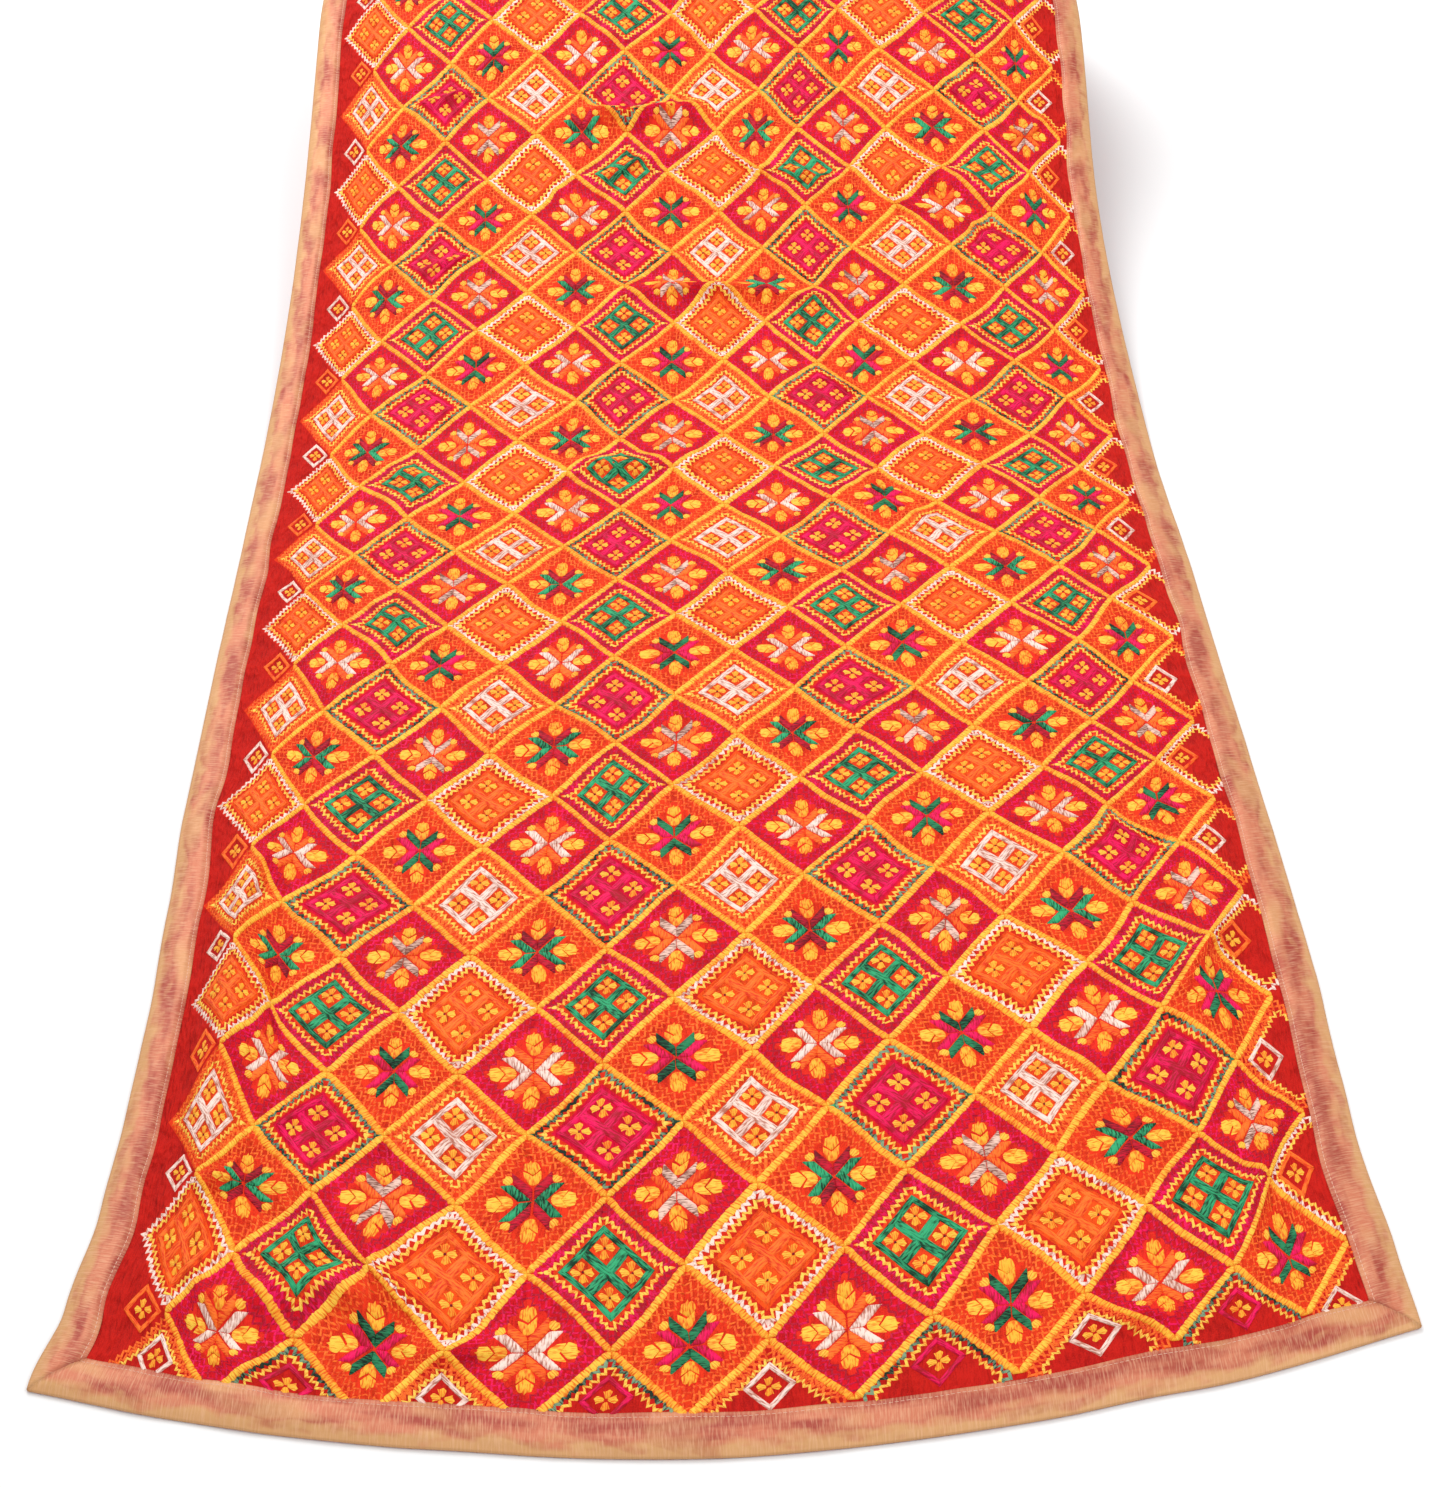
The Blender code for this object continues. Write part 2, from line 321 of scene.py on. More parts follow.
def laid(across, along):
    """Where points of the cut cloth lie, on its underside, before the whole is centred."""
    inside = np.clip((HALF_WIDTH - np.abs(across)) / HEM_EASE, 0, 1)
    inside = inside * np.clip(along / HEM_EASE, 0, 1) * np.clip((CUT_LENGTH - along) / HEM_EASE, 0, 1)
    height = PUCKER * (1 + 0.6 * ripple(across, along, 0.070, SEED))
    height += FINE_PUCKER * (1 + ripple(across, along, 0.032, SEED + 1))
    height = np.maximum(height, 0.0) * (0.3 + 0.7 * inside)
    moved_across = across + WANDER * inside * ripple(across, along, WANDER_LENGTH, SEED + 2)
    moved_along = along + WANDER * inside * ripple(across, along, WANDER_LENGTH, SEED + 3)
    for row in FOLDS:
        lengthwise, crosswise = fold_axes(row, across, along)
        height += row[5] * hump(lengthwise, row[3] / 2) * hump(crosswise, row[4] / 2)
    for row in CREASES:
        lengthwise, crosswise = fold_axes(row, across, along)
        reach = hump(lengthwise, row[3] / 2)
        swell = reach * hump(crosswise, row[4] / 2)
        shift = -row[6] * np.tanh(crosswise / DRAWN_CREST) * hump(crosswise, DRAWN_REACH) * reach
        shift -= CREST_LEAN * row[5] * swell
        height += row[5] * swell
        moved_across += -math.sin(math.radians(row[2])) * shift
        moved_along += math.cos(math.radians(row[2])) * shift
    run = np.interp(moved_along, STATIONS, RUN)
    rise = np.where(moved_along < LIP_START, np.interp(moved_along, STATIONS, RISE), 0.0)
    side = np.clip(moved_across / HALF_WIDTH, -1, 1)
    reach = np.where(across < 0, eased(REACH, moved_along, 1), eased(REACH, moved_along, 2))
    ease = np.clip((np.abs(moved_across) - EASE_START) / (HALF_WIDTH - EASE_START), 0, 1)
    settled = np.abs(moved_across) - (HALF_WIDTH - reach) * ease * ease * (3 - 2 * ease)
    x = np.copysign(settled, moved_across) + MIDDLE_LINE_TURN * run
    y = run + eased(WEFT, moved_along, 1) * np.abs(side) ** WEFT_BOW_POWER
    y = y + eased(WEFT, moved_along, 2) * moved_across
    z = np.maximum(rise, 0) * (1 - SIDE_SAG * side * side) + height
    return np.stack([x, y, z], -1)


def worked_out():
    """The underside's points and normals on the grid, standing over the model's place."""
    across, along = np.meshgrid(
        np.linspace(-HALF_WIDTH, HALF_WIDTH, CELLS_ACROSS + 1),
        np.linspace(0, CUT_LENGTH, CELLS_ALONG + 1))
    points = laid(across, along)
    low, high = (np.array(corner) for corner in CAD_BOX)
    middle = (points[..., :2].min((0, 1)) + points[..., :2].max((0, 1))) / 2
    points[..., :2] += (low[:2] + high[:2]) / 2 - middle
    normals = np.cross(np.gradient(points, axis=1), np.gradient(points, axis=0))
    normals /= np.linalg.norm(normals, axis=-1, keepdims=True)
    return across, along, points, normals, middle


GRID_ACROSS, GRID_ALONG, GRID_POINTS, GRID_NORMALS, MIDDLE = worked_out()
GRID_BOTH = np.concatenate([GRID_POINTS, GRID_NORMALS], -1)


def on_cloth(across, along, height):
    """Place points by their cut coordinates and height above the underside, on the grid's own faces."""
    column = (across + HALF_WIDTH) / CUT_WIDTH * CELLS_ACROSS
    row = along / CUT_LENGTH * CELLS_ALONG
    c = np.clip(np.floor(column).astype(int), 0, CELLS_ACROSS - 1)
    r = np.clip(np.floor(row).astype(int), 0, CELLS_ALONG - 1)
    right = (column - c)[..., None]
    up = (row - r)[..., None]
    start = GRID_BOTH[r, c]
    end = GRID_BOTH[r + 1, c + 1]
    corner = GRID_BOTH[r, c + 1]
    other = GRID_BOTH[r + 1, c]
    below = start + right * (corner - start) + up * (end - corner)
    above = start + up * (other - start) + right * (end - other)
    both = np.where(right >= up, below, above)
    return both[..., :3] + both[..., 3:] * height[..., None]


def new_object(name, points, faces, finish, maps=(), values=()):
    """A mesh object from arrays. maps are UV maps by vertex and values are numbers by vertex."""
    faces = np.asarray(faces, dtype=np.int32)
    mesh = bpy.data.meshes.new(name)
    mesh.vertices.add(len(points))
    mesh.vertices.foreach_set("co", np.asarray(points, dtype=np.float32).ravel())
    mesh.loops.add(faces.size)
    mesh.loops.foreach_set("vertex_index", faces.ravel())
    mesh.polygons.add(len(faces))
    mesh.polygons.foreach_set("loop_start", np.arange(0, faces.size, faces.shape[1], dtype=np.int32))
    mesh.update(calc_edges=True)
    for map_name, at in maps:
        layer = mesh.uv_layers.new(name=map_name)
        layer.uv.foreach_set("vector", np.asarray(at, dtype=np.float32)[faces.ravel()].ravel())
    for value_name, at in values:
        held = mesh.attributes.new(value_name, "FLOAT", "POINT")
        held.data.foreach_set("value", np.asarray(at, dtype=np.float32))
    mesh.shade_smooth()
    mesh.materials.append(finish)
    made = bpy.data.objects.new(name, mesh)
    bpy.context.scene.collection.objects.link(made)
    return made


def level_along(level):
    """Where an evenly charted level lies along the cloth."""
    early = 1 - np.exp(-np.maximum(level, 0) / FIRST_LEVELS_FADE)
    return FIRST_LEVEL + np.where(level < 0, HEM_LEVEL, LEVEL) * level + FIRST_LEVELS_STRETCH * early


def level_of(along):
    """The level at distances along the cloth."""
    levels = np.linspace(-2, LEVELS + 2, 600)
    return np.interp(along, level_along(levels), levels)


def smooth_weights(share):
    """Weights of four neighbouring values, for a smooth curve through the middle two."""
    return (
        ((2 - share) * share - 1) * share / 2,
        ((3 * share - 5) * share * share + 2) / 2,
        ((4 - 3 * share) * share + 1) * share / 2,
        (share - 1) * share * share / 2,
    )


def stray(table, column, level):
    """Read a table of strayed rows between its levels and columns."""
    rows = np.array(table)[:, 1:] / 1000
    last_row, last_column = rows.shape[0] - 1, rows.shape[1] - 1
    up = np.clip(level / STRAY_LEVELS, 0, last_row)
    right = np.clip(column / STRAY_COLUMNS, 0, last_column)
    r = np.minimum(np.floor(up).astype(int), last_row - 1)
    c = np.minimum(np.floor(right).astype(int), last_column - 1)
    total = 0
    for i, row_weight in enumerate(smooth_weights(up - r)):
        for j, column_weight in enumerate(smooth_weights(right - c)):
            value = rows[np.clip(r + i - 1, 0, last_row), np.clip(c + j - 1, 0, last_column)]
            total = total + row_weight * column_weight * value
    return total


def place_of(column, level):
    """Where a point of the chart lies on the cloth."""
    across = FIRST_COLUMN + COLUMN * column + stray(STRAY_ACROSS, column, level)
    along = level_along(level) + stray(STRAY_ALONG, column, level)
    return across, along


def chart_of(across, along):
    """The chart's column and level at points of the cloth, found by drawing closer."""
    column = (across - FIRST_COLUMN) / COLUMN
    level = level_of(along)
    for _ in range(8):
        aside, ahead = stray(STRAY_ACROSS, column, level), stray(STRAY_ALONG, column, level)
        column = (across - aside - FIRST_COLUMN) / COLUMN
        level = level_of(along - ahead)
    return column, level


def spot(p, q):
    """A point of a tile by shares of its two sloping directions, as distances across and along."""
    return np.stack([HALF_TILE_ACROSS * (p + q) / 2, HALF_TILE_ALONG * (q - p) / 2], -1)


def quads(index):
    """The four-sided faces of a grid of vertex numbers."""
    corners = [index[:-1, :-1], index[:-1, 1:], index[1:, 1:], index[1:, :-1]]
    return np.stack(corners, -1).reshape(-1, 4)


class Template:
    """Stitches in a tile's own coordinates: points, faces, thread coordinates and parts."""

    def __init__(self):
        self.points = []
        self.faces = []
        self.thread = []
        self.part = []
        self.count = 0
        self.parts = 0

    def add(self, points, faces, thread, part=None):
        """Take points (n, 3), four-sided faces, which are turned upwards, and thread coordinates (n, 2)."""
        a, b, c, d = (points[faces[:, k], :2] for k in range(4))
        turned = (c - a)[:, 0] * (d - b)[:, 1] - (c - a)[:, 1] * (d - b)[:, 0] < 0
        faces = np.where(turned[:, None], faces[:, ::-1], faces)
        part = np.zeros(len(points), dtype=int) if part is None else part
        self.points.append(points)
        self.faces.append(faces + self.count)
        self.thread.append(thread)
        self.part.append(part + self.parts)
        self.count += len(points)
        self.parts += part.max() + 1

    def grid(self, points, thread):
        """Take a grid of points (rows, columns, 3)."""
        rows, columns = points.shape[:2]
        index = np.arange(rows * columns).reshape(rows, columns)
        self.add(points.reshape(-1, 3), quads(index), thread.reshape(-1, 2))

    def joined(self):
        return [np.concatenate(held) for held in (self.points, self.faces, self.thread, self.part)]


class Stitches:
    """All stitches of one floss colour, laid on the cloth as they come."""

    def __init__(self):
        self.across = []
        self.along = []
        self.height = []
        self.faces = []
        self.thread = []
        self.tone = []
        self.count = 0

    def lay(self, across, along, height, faces, thread, tone):
        """Take arrays of (copies, points) and one template's faces and thread coordinates."""
        copies, size = across.shape
        starts = (np.arange(copies) * size)[:, None, None] + self.count
        self.across.append(across.ravel())
        self.along.append(along.ravel())
        self.height.append(np.broadcast_to(height, across.shape).ravel())
        self.faces.append((faces[None] + starts).reshape(-1, 4))
        self.thread.append(np.broadcast_to(thread[None], (copies, size, 2)).reshape(-1, 2))
        self.tone.append(tone.ravel())
        self.count += copies * size


STITCHES = {name: Stitches() for name in FLOSS}
RANDOM = np.random.default_rng(SEED)
# Painted shade: how much darker a stitch's rim points are, where it dips into the cloth.
PAINTED_RIM_SHADE = 0.22
SLIP = 0.0004
FRAME_SLIP = 0.0001


def sew(name, template, places, tone, spread, slip=SLIP):
    """Sew a template at many tiles, given as an array of column and level."""
    points, faces, thread, part = template.joined()
    places = np.asarray(places, dtype=float)
    copies, parts = len(places), part.max() + 1
    moved = RANDOM.normal(0, slip, (copies, parts, 2))[:, part]
    shade = tone + RANDOM.normal(0, spread, (copies, parts))[:, part]
    shade = shade + RANDOM.normal(0, spread / 2, (copies, 1))
    # Painted shade on the rim points, where the stitches dip into the cloth.
    shade = shade - PAINTED_RIM_SHADE * (points[:, 2] < 0)
    column = places[:, :1] + (points[None, :, 0] + moved[..., 0]) / COLUMN
    level = places[:, 1:] + (points[None, :, 1] + moved[..., 1]) / LEVEL
    across, along = place_of(column, level)
    STITCHES[name].lay(across, along, GROUND_TOP + points[:, 2], faces, thread, shade)


THREAD_PACE = 0.0033
SHARPEST_CORNER = 0.6


def thread_run(template, line, width, height):
    """A thread along a closed line of points: a strip with a raised middle."""
    ahead = np.roll(line, -1, 0) - line
    behind = line - np.roll(line, 1, 0)
    ahead /= np.linalg.norm(ahead, axis=1, keepdims=True)
    behind /= np.linalg.norm(behind, axis=1, keepdims=True)
    way = ahead + behind
    way /= np.linalg.norm(way, axis=1, keepdims=True)
    corner = np.maximum((way * ahead).sum(1), SHARPEST_CORNER)
    out = np.stack([-way[:, 1], way[:, 0]], -1) * (width / 2 / corner)[:, None]
    low = np.full((len(line), 1), RIM)
    top = np.full((len(line), 1), height)
    rows = np.stack(
        [np.hstack([line - out, low]), np.hstack([line, top]), np.hstack([line + out, low])], 1)
    reach = np.arange(len(line)) * THREAD_PACE
    thread = np.stack([np.stack([np.full(len(line), k * width / 2), reach], -1) for k in range(3)], 1)
    index = np.arange(len(line) * 3).reshape(-1, 3)
    following = np.roll(index, -1, 0)
    corners = [index[:, :-1], index[:, 1:], following[:, 1:], following[:, :-1]]
    part = np.repeat(np.arange(len(line)), 3)
    template.add(rows.reshape(-1, 3), np.stack(corners, -1).reshape(-1, 4), thread.reshape(-1, 2), part)


THREAD_WIDTH = 0.0026
THREAD_HEIGHT = 0.0007
THREAD_SLIP = 0.0005
SWING = 0.044


def zigzag_ring(radius, steps, swing=SWING, width=THREAD_WIDTH, height=THREAD_HEIGHT):
    """A closed zigzag round a tile, at a share of the tile's half width."""
    template = Template()
    step = np.arange(2 * steps)
    side = -radius + step * radius / steps
    out = radius + swing * np.where(step % 2, 1, -1)
    corners = [spot(side, out), spot(out, -side), spot(-side, -out), spot(-out, side)]
    thread_run(template, np.concatenate(corners), width, height)
    return template


PAD_END = 0.06
# A bar's section: share of the width and share of the height
BAR_SIDES = ((0.0, 0), (0.16, 1), (0.84, 1), (1.0, 0))


def bar(template, corners, height, lengthwise, thread_turn, closed_ends=True):
    """A satin bar: a four-cornered pad given by its start left, start right, end right and end left."""
    start_left, start_right, end_right, end_left = corners
    inner = list(np.linspace(0, 1, lengthwise + 1)[1:-1])
    shares = np.array([0.0, PAD_END] + inner + [1 - PAD_END, 1.0])
    sides, raised = np.array(BAR_SIDES).T
    left = start_left + shares[:, None] * (end_left - start_left)
    right = start_right + shares[:, None] * (end_right - start_right)
    at = left[:, None] + sides[None, :, None] * (right - left)[:, None]
    ends = np.ones_like(shares)
    if closed_ends:
        ends = np.minimum(np.minimum(shares, 1 - shares) / PAD_END, 1)
    rise = ends[:, None] * raised[None]
    high = (RIM + (height - RIM) * rise)[..., None]
    turn = math.radians(thread_turn)
    thread = at[..., :1] * np.array([-math.sin(turn), math.cos(turn)])
    thread = thread + at[..., 1:] * np.array([math.cos(turn), math.sin(turn)])
    template.grid(np.concatenate([at, high], -1), thread)


FRAME_OUT = 0.625
FRAME_IN = 0.495
CROSS_HALF = 0.102
SMALL_OUT = 0.350
SMALL_IN = 0.245
CROSS_OVERLAP = 0.02
FRAME_HEIGHT = 0.0008
CROSS_HEIGHT = 0.0009
FRAME_ROWS = 8


def square_frame(template, outer, inner, aside=0.0):
    """Four satin bars round a square, mitred at its corners, moved aside from the tile's centre."""
    for turn in range(4):
        corners = []
        for p, q in ((-outer, outer), (-inner, inner), (inner, inner), (outer, outer)):
            for _ in range(turn):
                p, q = q, -p
            corners.append(spot(p, q) + aside)
        bar(template, corners, FRAME_HEIGHT, FRAME_ROWS, 45 + 90 * (turn % 2), closed_ends=False)


def block_frame():
    """The square frame with a cross in it, worked in satin."""
    template = Template()
    square_frame(template, FRAME_OUT, FRAME_IN)
    end, half = FRAME_IN + CROSS_OVERLAP, CROSS_HALF
    corners = np.array([(-end, half), (-end, -half), (end, -half), (end, half)])
    for points, height, turn in ((corners, CROSS_HEIGHT, 45), (corners[:, ::-1], FRAME_HEIGHT, -45)):
        bar(template, [spot(p, q) for p, q in points], height, FRAME_ROWS, turn, closed_ends=False)
    return template


FAN_ROWS = (0.0, 0.2, 0.8, 1.0)
FAN_ROUNDING = 0.7
FAN_NOTCH = 0.0012
FAN_BOW = 0.22


def fan(template, centre, way, reach, widths, height, teeth=5, notch=FAN_NOTCH, bow=FAN_BOW):
    """A fan of straight stitches out from a centre, with an uneven end, by its two reaches and widths."""
    way = np.asarray(way, dtype=float)
    out = np.array([-way[1], way[0]])
    sides = np.linspace(-0.5, 0.5, teeth)
    shares = np.array(FAN_ROWS)
    width = widths[0] + (widths[1] - widths[0]) * shares
    reach = reach[0] + (reach[1] - reach[0]) * shares
    uneven = np.where(np.arange(teeth) % 2, 0.0, -notch)
    points = np.zeros((len(shares), teeth, 3))
    for row, (w, r, share) in enumerate(zip(width, reach, shares)):
        bowed = r - bow * w * (2 * sides) ** 2 * share + uneven * (share > 0.5)
        points[row, :, :2] = np.asarray(centre) + bowed[:, None] * way + (sides * w)[:, None] * out
        points[row, :, 2] = height * (row in (1, 2)) * (1 - FAN_ROUNDING * (2 * sides) ** 4)
    points[..., 2] += RIM
    thread = np.broadcast_arrays(reach[:, None], sides * widths[1])
    template.grid(points, np.stack(thread, -1))


CORNERS = ((1, 1), (-1, 1), (-1, -1), (1, -1))
FLOWER_AT = 0.315
BLOCK_FLOWERS = [spot(p * FLOWER_AT, q * FLOWER_AT) for p, q in CORNERS]
SIDE_WAYS = ((1, 0), (-1, 0))
END_WAYS = ((0, 1), (0, -1))
# A petal's start, its width there, its height and its bow
PETAL_START, PETAL_WIDTH, PETAL_HEIGHT, PETAL_BOW = 0.0009, 0.0026, 0.0010, 0.12
# A flower's dark middle, painted shade where its petals meet, by its height and its length and width, and a
# corner tip's end width
HEART_HEIGHT, HEART_LENGTH, HEART_WIDTH = 0.0009, 0.0022, 0.0018
TIP_END = 0.0006


def petals(centres, ways, length, width):
    """The petals of small flowers that point certain ways."""
    template = Template()
    reach, widths = (PETAL_START, length), (PETAL_WIDTH, width)
    for centre in centres:
        for way in ways:
            fan(template, centre, way, reach, widths, PETAL_HEIGHT, teeth=4, bow=PETAL_BOW)
    return template


def shaded_middles(centres):
    """Dark pads in the middles of small flowers: painted shade in the gap where the petals meet."""
    template = Template()
    widths = (HEART_WIDTH, HEART_WIDTH)
    for centre in centres:
        start = centre - (0, HEART_LENGTH / 2)
        fan(template, start, (0, 1), (0.0, HEART_LENGTH), widths, HEART_HEIGHT, 3, 0.0)
    return template


def corner_tips(ways, start, end, width):
    """Small pointed tips towards a tile's corners."""
    template = Template()
    for way in ways:
        fan(template, (0.0, 0.0), way, (start, end), (width, TIP_END), HEART_HEIGHT, 3, 0.0)
    return template


ARM_WIDTH = 0.185
ARM_LENGTH = 0.50
ARM_GAP = 0.004
ARM_HEIGHT = 0.0010
ARM_ROWS = 4
ARM_CORNERS = (
    (ARM_GAP, ARM_GAP),
    (ARM_WIDTH, ARM_WIDTH),
    (ARM_WIDTH, ARM_LENGTH + ARM_WIDTH),
    (ARM_GAP, ARM_LENGTH),
)


def arms(quadrants, thread_turn):
    """The two-armed corners of a star that open certain ways."""
    template = Template()
    for sp, sq in quadrants:
        for corners in (ARM_CORNERS, [(q, p) for p, q in ARM_CORNERS]):
            at = [spot(sp * p, sq * q) for p, q in corners]
            bar(template, at, ARM_HEIGHT, ARM_ROWS, thread_turn)
    return template


# Rows of a bud's body and of its toothed cap: share of the length and share of the width
BUD_ROWS = ((0.0, 0.22), (0.08, 0.56), (0.28, 0.92), (0.56, 1.02), (0.60, 1.00))
CAP_ROWS = ((0.60, 0.97), (0.64, 0.93), (0.84, 0.74), (1.0, 0.42))
CHEVRON = 0.24
CHEVRON_GAP = 0.0004
BUD_HEIGHT = 0.0010
BUD_ROUNDING = 0.9
CAP_TOOTH = 0.0016
CAP_BOW = 0.0020


def buds(ways, start, end, width, caps=False):
    """The pointed bodies of leaf-shaped buds, or their toothed caps past a chevron of bare cloth."""
    template = Template()
    rows = CAP_ROWS if caps else BUD_ROWS
    sides = np.linspace(-1, 1, 5)
    for way in np.asarray(ways, dtype=float):
        out = np.array([-way[1], way[0]])
        points = np.zeros((len(rows), 5, 3))
        for index, (share, wide) in enumerate(rows):
            reach = np.full(5, start + share * (end - start))
            at_chevron = index <= 1 if caps else index >= 3
            if at_chevron:
                reach = reach - (1 - np.abs(sides)) * CHEVRON * (end - start)
            if caps and index == 0:
                reach = reach + CHEVRON_GAP
            if caps and index == len(rows) - 1:
                reach = reach - np.where(np.arange(5) % 2, CAP_TOOTH, 0.0) - CAP_BOW * np.abs(sides)
            points[index, :, :2] = reach[:, None] * way + (sides * wide * width / 2)[:, None] * out
            rim = index in (0, len(rows) - 1)
            points[index, :, 2] = 0 if rim else BUD_HEIGHT * (1 - BUD_ROUNDING * sides ** 4)
        points[..., 2] += RIM
        flat = points[..., :2]
        template.grid(points, np.stack([flat @ way, flat @ out], -1))
    return template


TUFT_AT = 0.265
TUFT_WAY = (0.62, 0.78)
TUFT_REACH = (0.0, 0.0080)
TUFT_WIDTHS = (0.0052, 0.0078)
TUFT_HEIGHT = 0.0011
TUFT_NOTCH = 0.0014


def tufts():
    """The four small square tufts beyond a star's arms."""
    template = Template()
    for corner in np.array(CORNERS):
        way = corner * TUFT_WAY
        way /= np.linalg.norm(way)
        centre = corner * TUFT_AT * (HALF_TILE_ACROSS, HALF_TILE_ALONG)
        fan(template, centre, way, TUFT_REACH, TUFT_WIDTHS, TUFT_HEIGHT, notch=TUFT_NOTCH)
    return template


BAND_WIDTH = 0.0064
BAND_HEIGHT = 0.0010
BAND_STITCH = 0.0036
# A band's section: share of the half width and whether it is raised
BAND_SIDES = ((-1, 0), (-0.66, 1), (0.66, 1), (1, 0))
BAND_SLIP = 0.00016


def sew_bands(name, edges, tone):
    """Satin bands between lattice points: groups of stitches across the band with grooves between."""
    edges = np.asarray(edges, dtype=float)
    copies = len(edges)
    length = math.hypot(COLUMN, LEVEL / 2)
    rows = 2 * round(length / BAND_STITCH) + 1
    share = np.linspace(0, 1, rows)
    column = edges[:, None, 0] + share * (edges[:, None, 2] - edges[:, None, 0])
    level = edges[:, None, 1] + share * (edges[:, None, 3] - edges[:, None, 1])
    at = np.stack(place_of(column, level), -1)
    way = np.gradient(at, axis=1)
    way /= np.linalg.norm(way, axis=-1, keepdims=True)
    out = np.stack([-way[..., 1], way[..., 0]], -1)
    groove = np.where(np.arange(rows) % 2 == 0, 1.0, 0.0)
    depth = RANDOM.uniform(0, 1, (copies, rows)) ** 2.2 * groove
    taper = np.clip(np.minimum(share, 1 - share) * length / (BAND_WIDTH * 0.5), 0.0, 1.0)
    wide = BAND_WIDTH / 2 * (1 - 0.06 * depth) * np.maximum(taper, 0.02)[None]
    wide = wide * (1 + RANDOM.normal(0, 0.03, (copies, rows)))
    aside = RANDOM.normal(0, BAND_SLIP, (copies, rows)) * taper
    high = BAND_HEIGHT * (1 - 0.12 * depth) * np.minimum(0.35 + taper, 1)[None]
    across, along, height, shade = np.zeros((4, copies, rows, 4))
    # Painted shade: the grooves are darkened by their depth, on top of each copy's and row's random tone,
    # and the rims are darkened as well.
    copy_tone = tone + RANDOM.normal(0, 0.06, (copies, 1))
    copy_tone = copy_tone + RANDOM.normal(0, 0.06, (copies, rows)) - 0.3 * depth
    for index, (side, rise) in enumerate(BAND_SIDES):
        edge = at + out * (side * wide + aside)[..., None]
        across[..., index] = edge[..., 0]
        along[..., index] = edge[..., 1]
        height[..., index] = GROUND_TOP + (high if rise else RIM)
        shade[..., index] = copy_tone - (0 if rise else PAINTED_RIM_SHADE)
    faces = quads(np.arange(rows * 4).reshape(rows, 4).T)
    reach = np.arange(rows) * BAND_STITCH / 2
    sides = np.array(BAND_SIDES)[:, 0] * BAND_WIDTH / 2
    thread = np.stack(np.broadcast_arrays(sides, reach[:, None]), -1).reshape(-1, 2)
    flat = (copies, rows * 4)
    across, along, height, shade = (held.reshape(flat) for held in (across, along, height, shade))
    STITCHES[name].lay(across, along, height, faces, thread, shade)


def sew_lattice():
    """The bands between tiles, in one yellow floss with painted sheen: lighter the rising way, deeper the
    other way.
    """
    yellow_lit, yellow_shaded = [], []
    for level in range(LEVELS):
        for column in range(0, TILE_COLUMNS + 1, 2):
            for aside in (-1, 1):
                if not 0 <= column + aside < TILE_COLUMNS:
                    continue
                for up in (-0.5, 0.5):
                    rising = aside * up > 0
                    edge = (column, level, column + aside, level + up)
                    (yellow_lit if rising else yellow_shaded).append(edge)
    sew_bands("yellow_lit", yellow_lit, 0.86)
    sew_bands("yellow_shaded", yellow_shaded, 0.88)


# Each kind of frame-and-cross tile: the frame's colour, its tone, the yellow ring's radius, and the outer
# rings' colour and radii
BLOCK_KINDS = {
    "A": ("orange", 0.80, 0.775, "white", (0.900,)),
    "B": ("emerald", 0.74, 0.730, "magenta", (0.910, 0.820)),
    "C": ("magenta", 0.70, 0.775, "moss", (0.895,)),
    "D": ("white", 0.84, 0.730, "orange", (0.910, 0.820)),
}
# The outer rings by colour: tone, thread width, swing and steps a side
RING_THREADS = {
    "white": (1.0, 0.0031, 0.050, 11),
    "moss": (0.70, 0.0030, 0.050, 11),
    "magenta": (0.56, 0.0026, 0.044, 12),
    "orange": (0.84, 0.0026, 0.044, 12),
}
INNER_STEPS = 10
SMALL_ASIDE = 0.42
HEM_ASIDE = 0.34


def kind_of_block(column, level):
    return ("AD" if column % 4 == 0 else "BC")[level % 2]


def sew_small_squares(places, aside):
    """One-flower squares at half tiles, moved aside from the tile's centre."""
    aside = np.array(aside)
    for kind in sorted({kind for kind, _ in places}):
        colour, tone = BLOCK_KINDS[kind][:2]
        frame_template = Template()
        square_frame(frame_template, SMALL_OUT, SMALL_IN, aside)
        of_kind = [place for name, place in places if name == kind]
        sew(colour, frame_template, of_kind, tone, 0.08, FRAME_SLIP)
    every = [place for _, place in places]
    # Side petals in the lighter copy of the yellow floss and end petals in the deeper one: painted sheen by
    # thread direction.
    sew("yellow_lit", petals([aside], SIDE_WAYS, 0.0085, 0.0072), every, 0.86, 0.10)
    sew("yellow_shaded", petals([aside], END_WAYS, 0.0090, 0.0066), every, 0.86, 0.10)


def sew_rings(kind, places):
    """The zigzag rings of one kind of tile: the yellow one and those outside it."""
    yellow_radius, ring_colour, radii = BLOCK_KINDS[kind][2:]
    sew("straw", zigzag_ring(yellow_radius, INNER_STEPS), places, 0.90, 0.12, THREAD_SLIP)
    tone, width, swing, steps = RING_THREADS[ring_colour]
    for radius in radii:
        sew(ring_colour, zigzag_ring(radius, steps, swing, width), places, tone, 0.16, THREAD_SLIP)


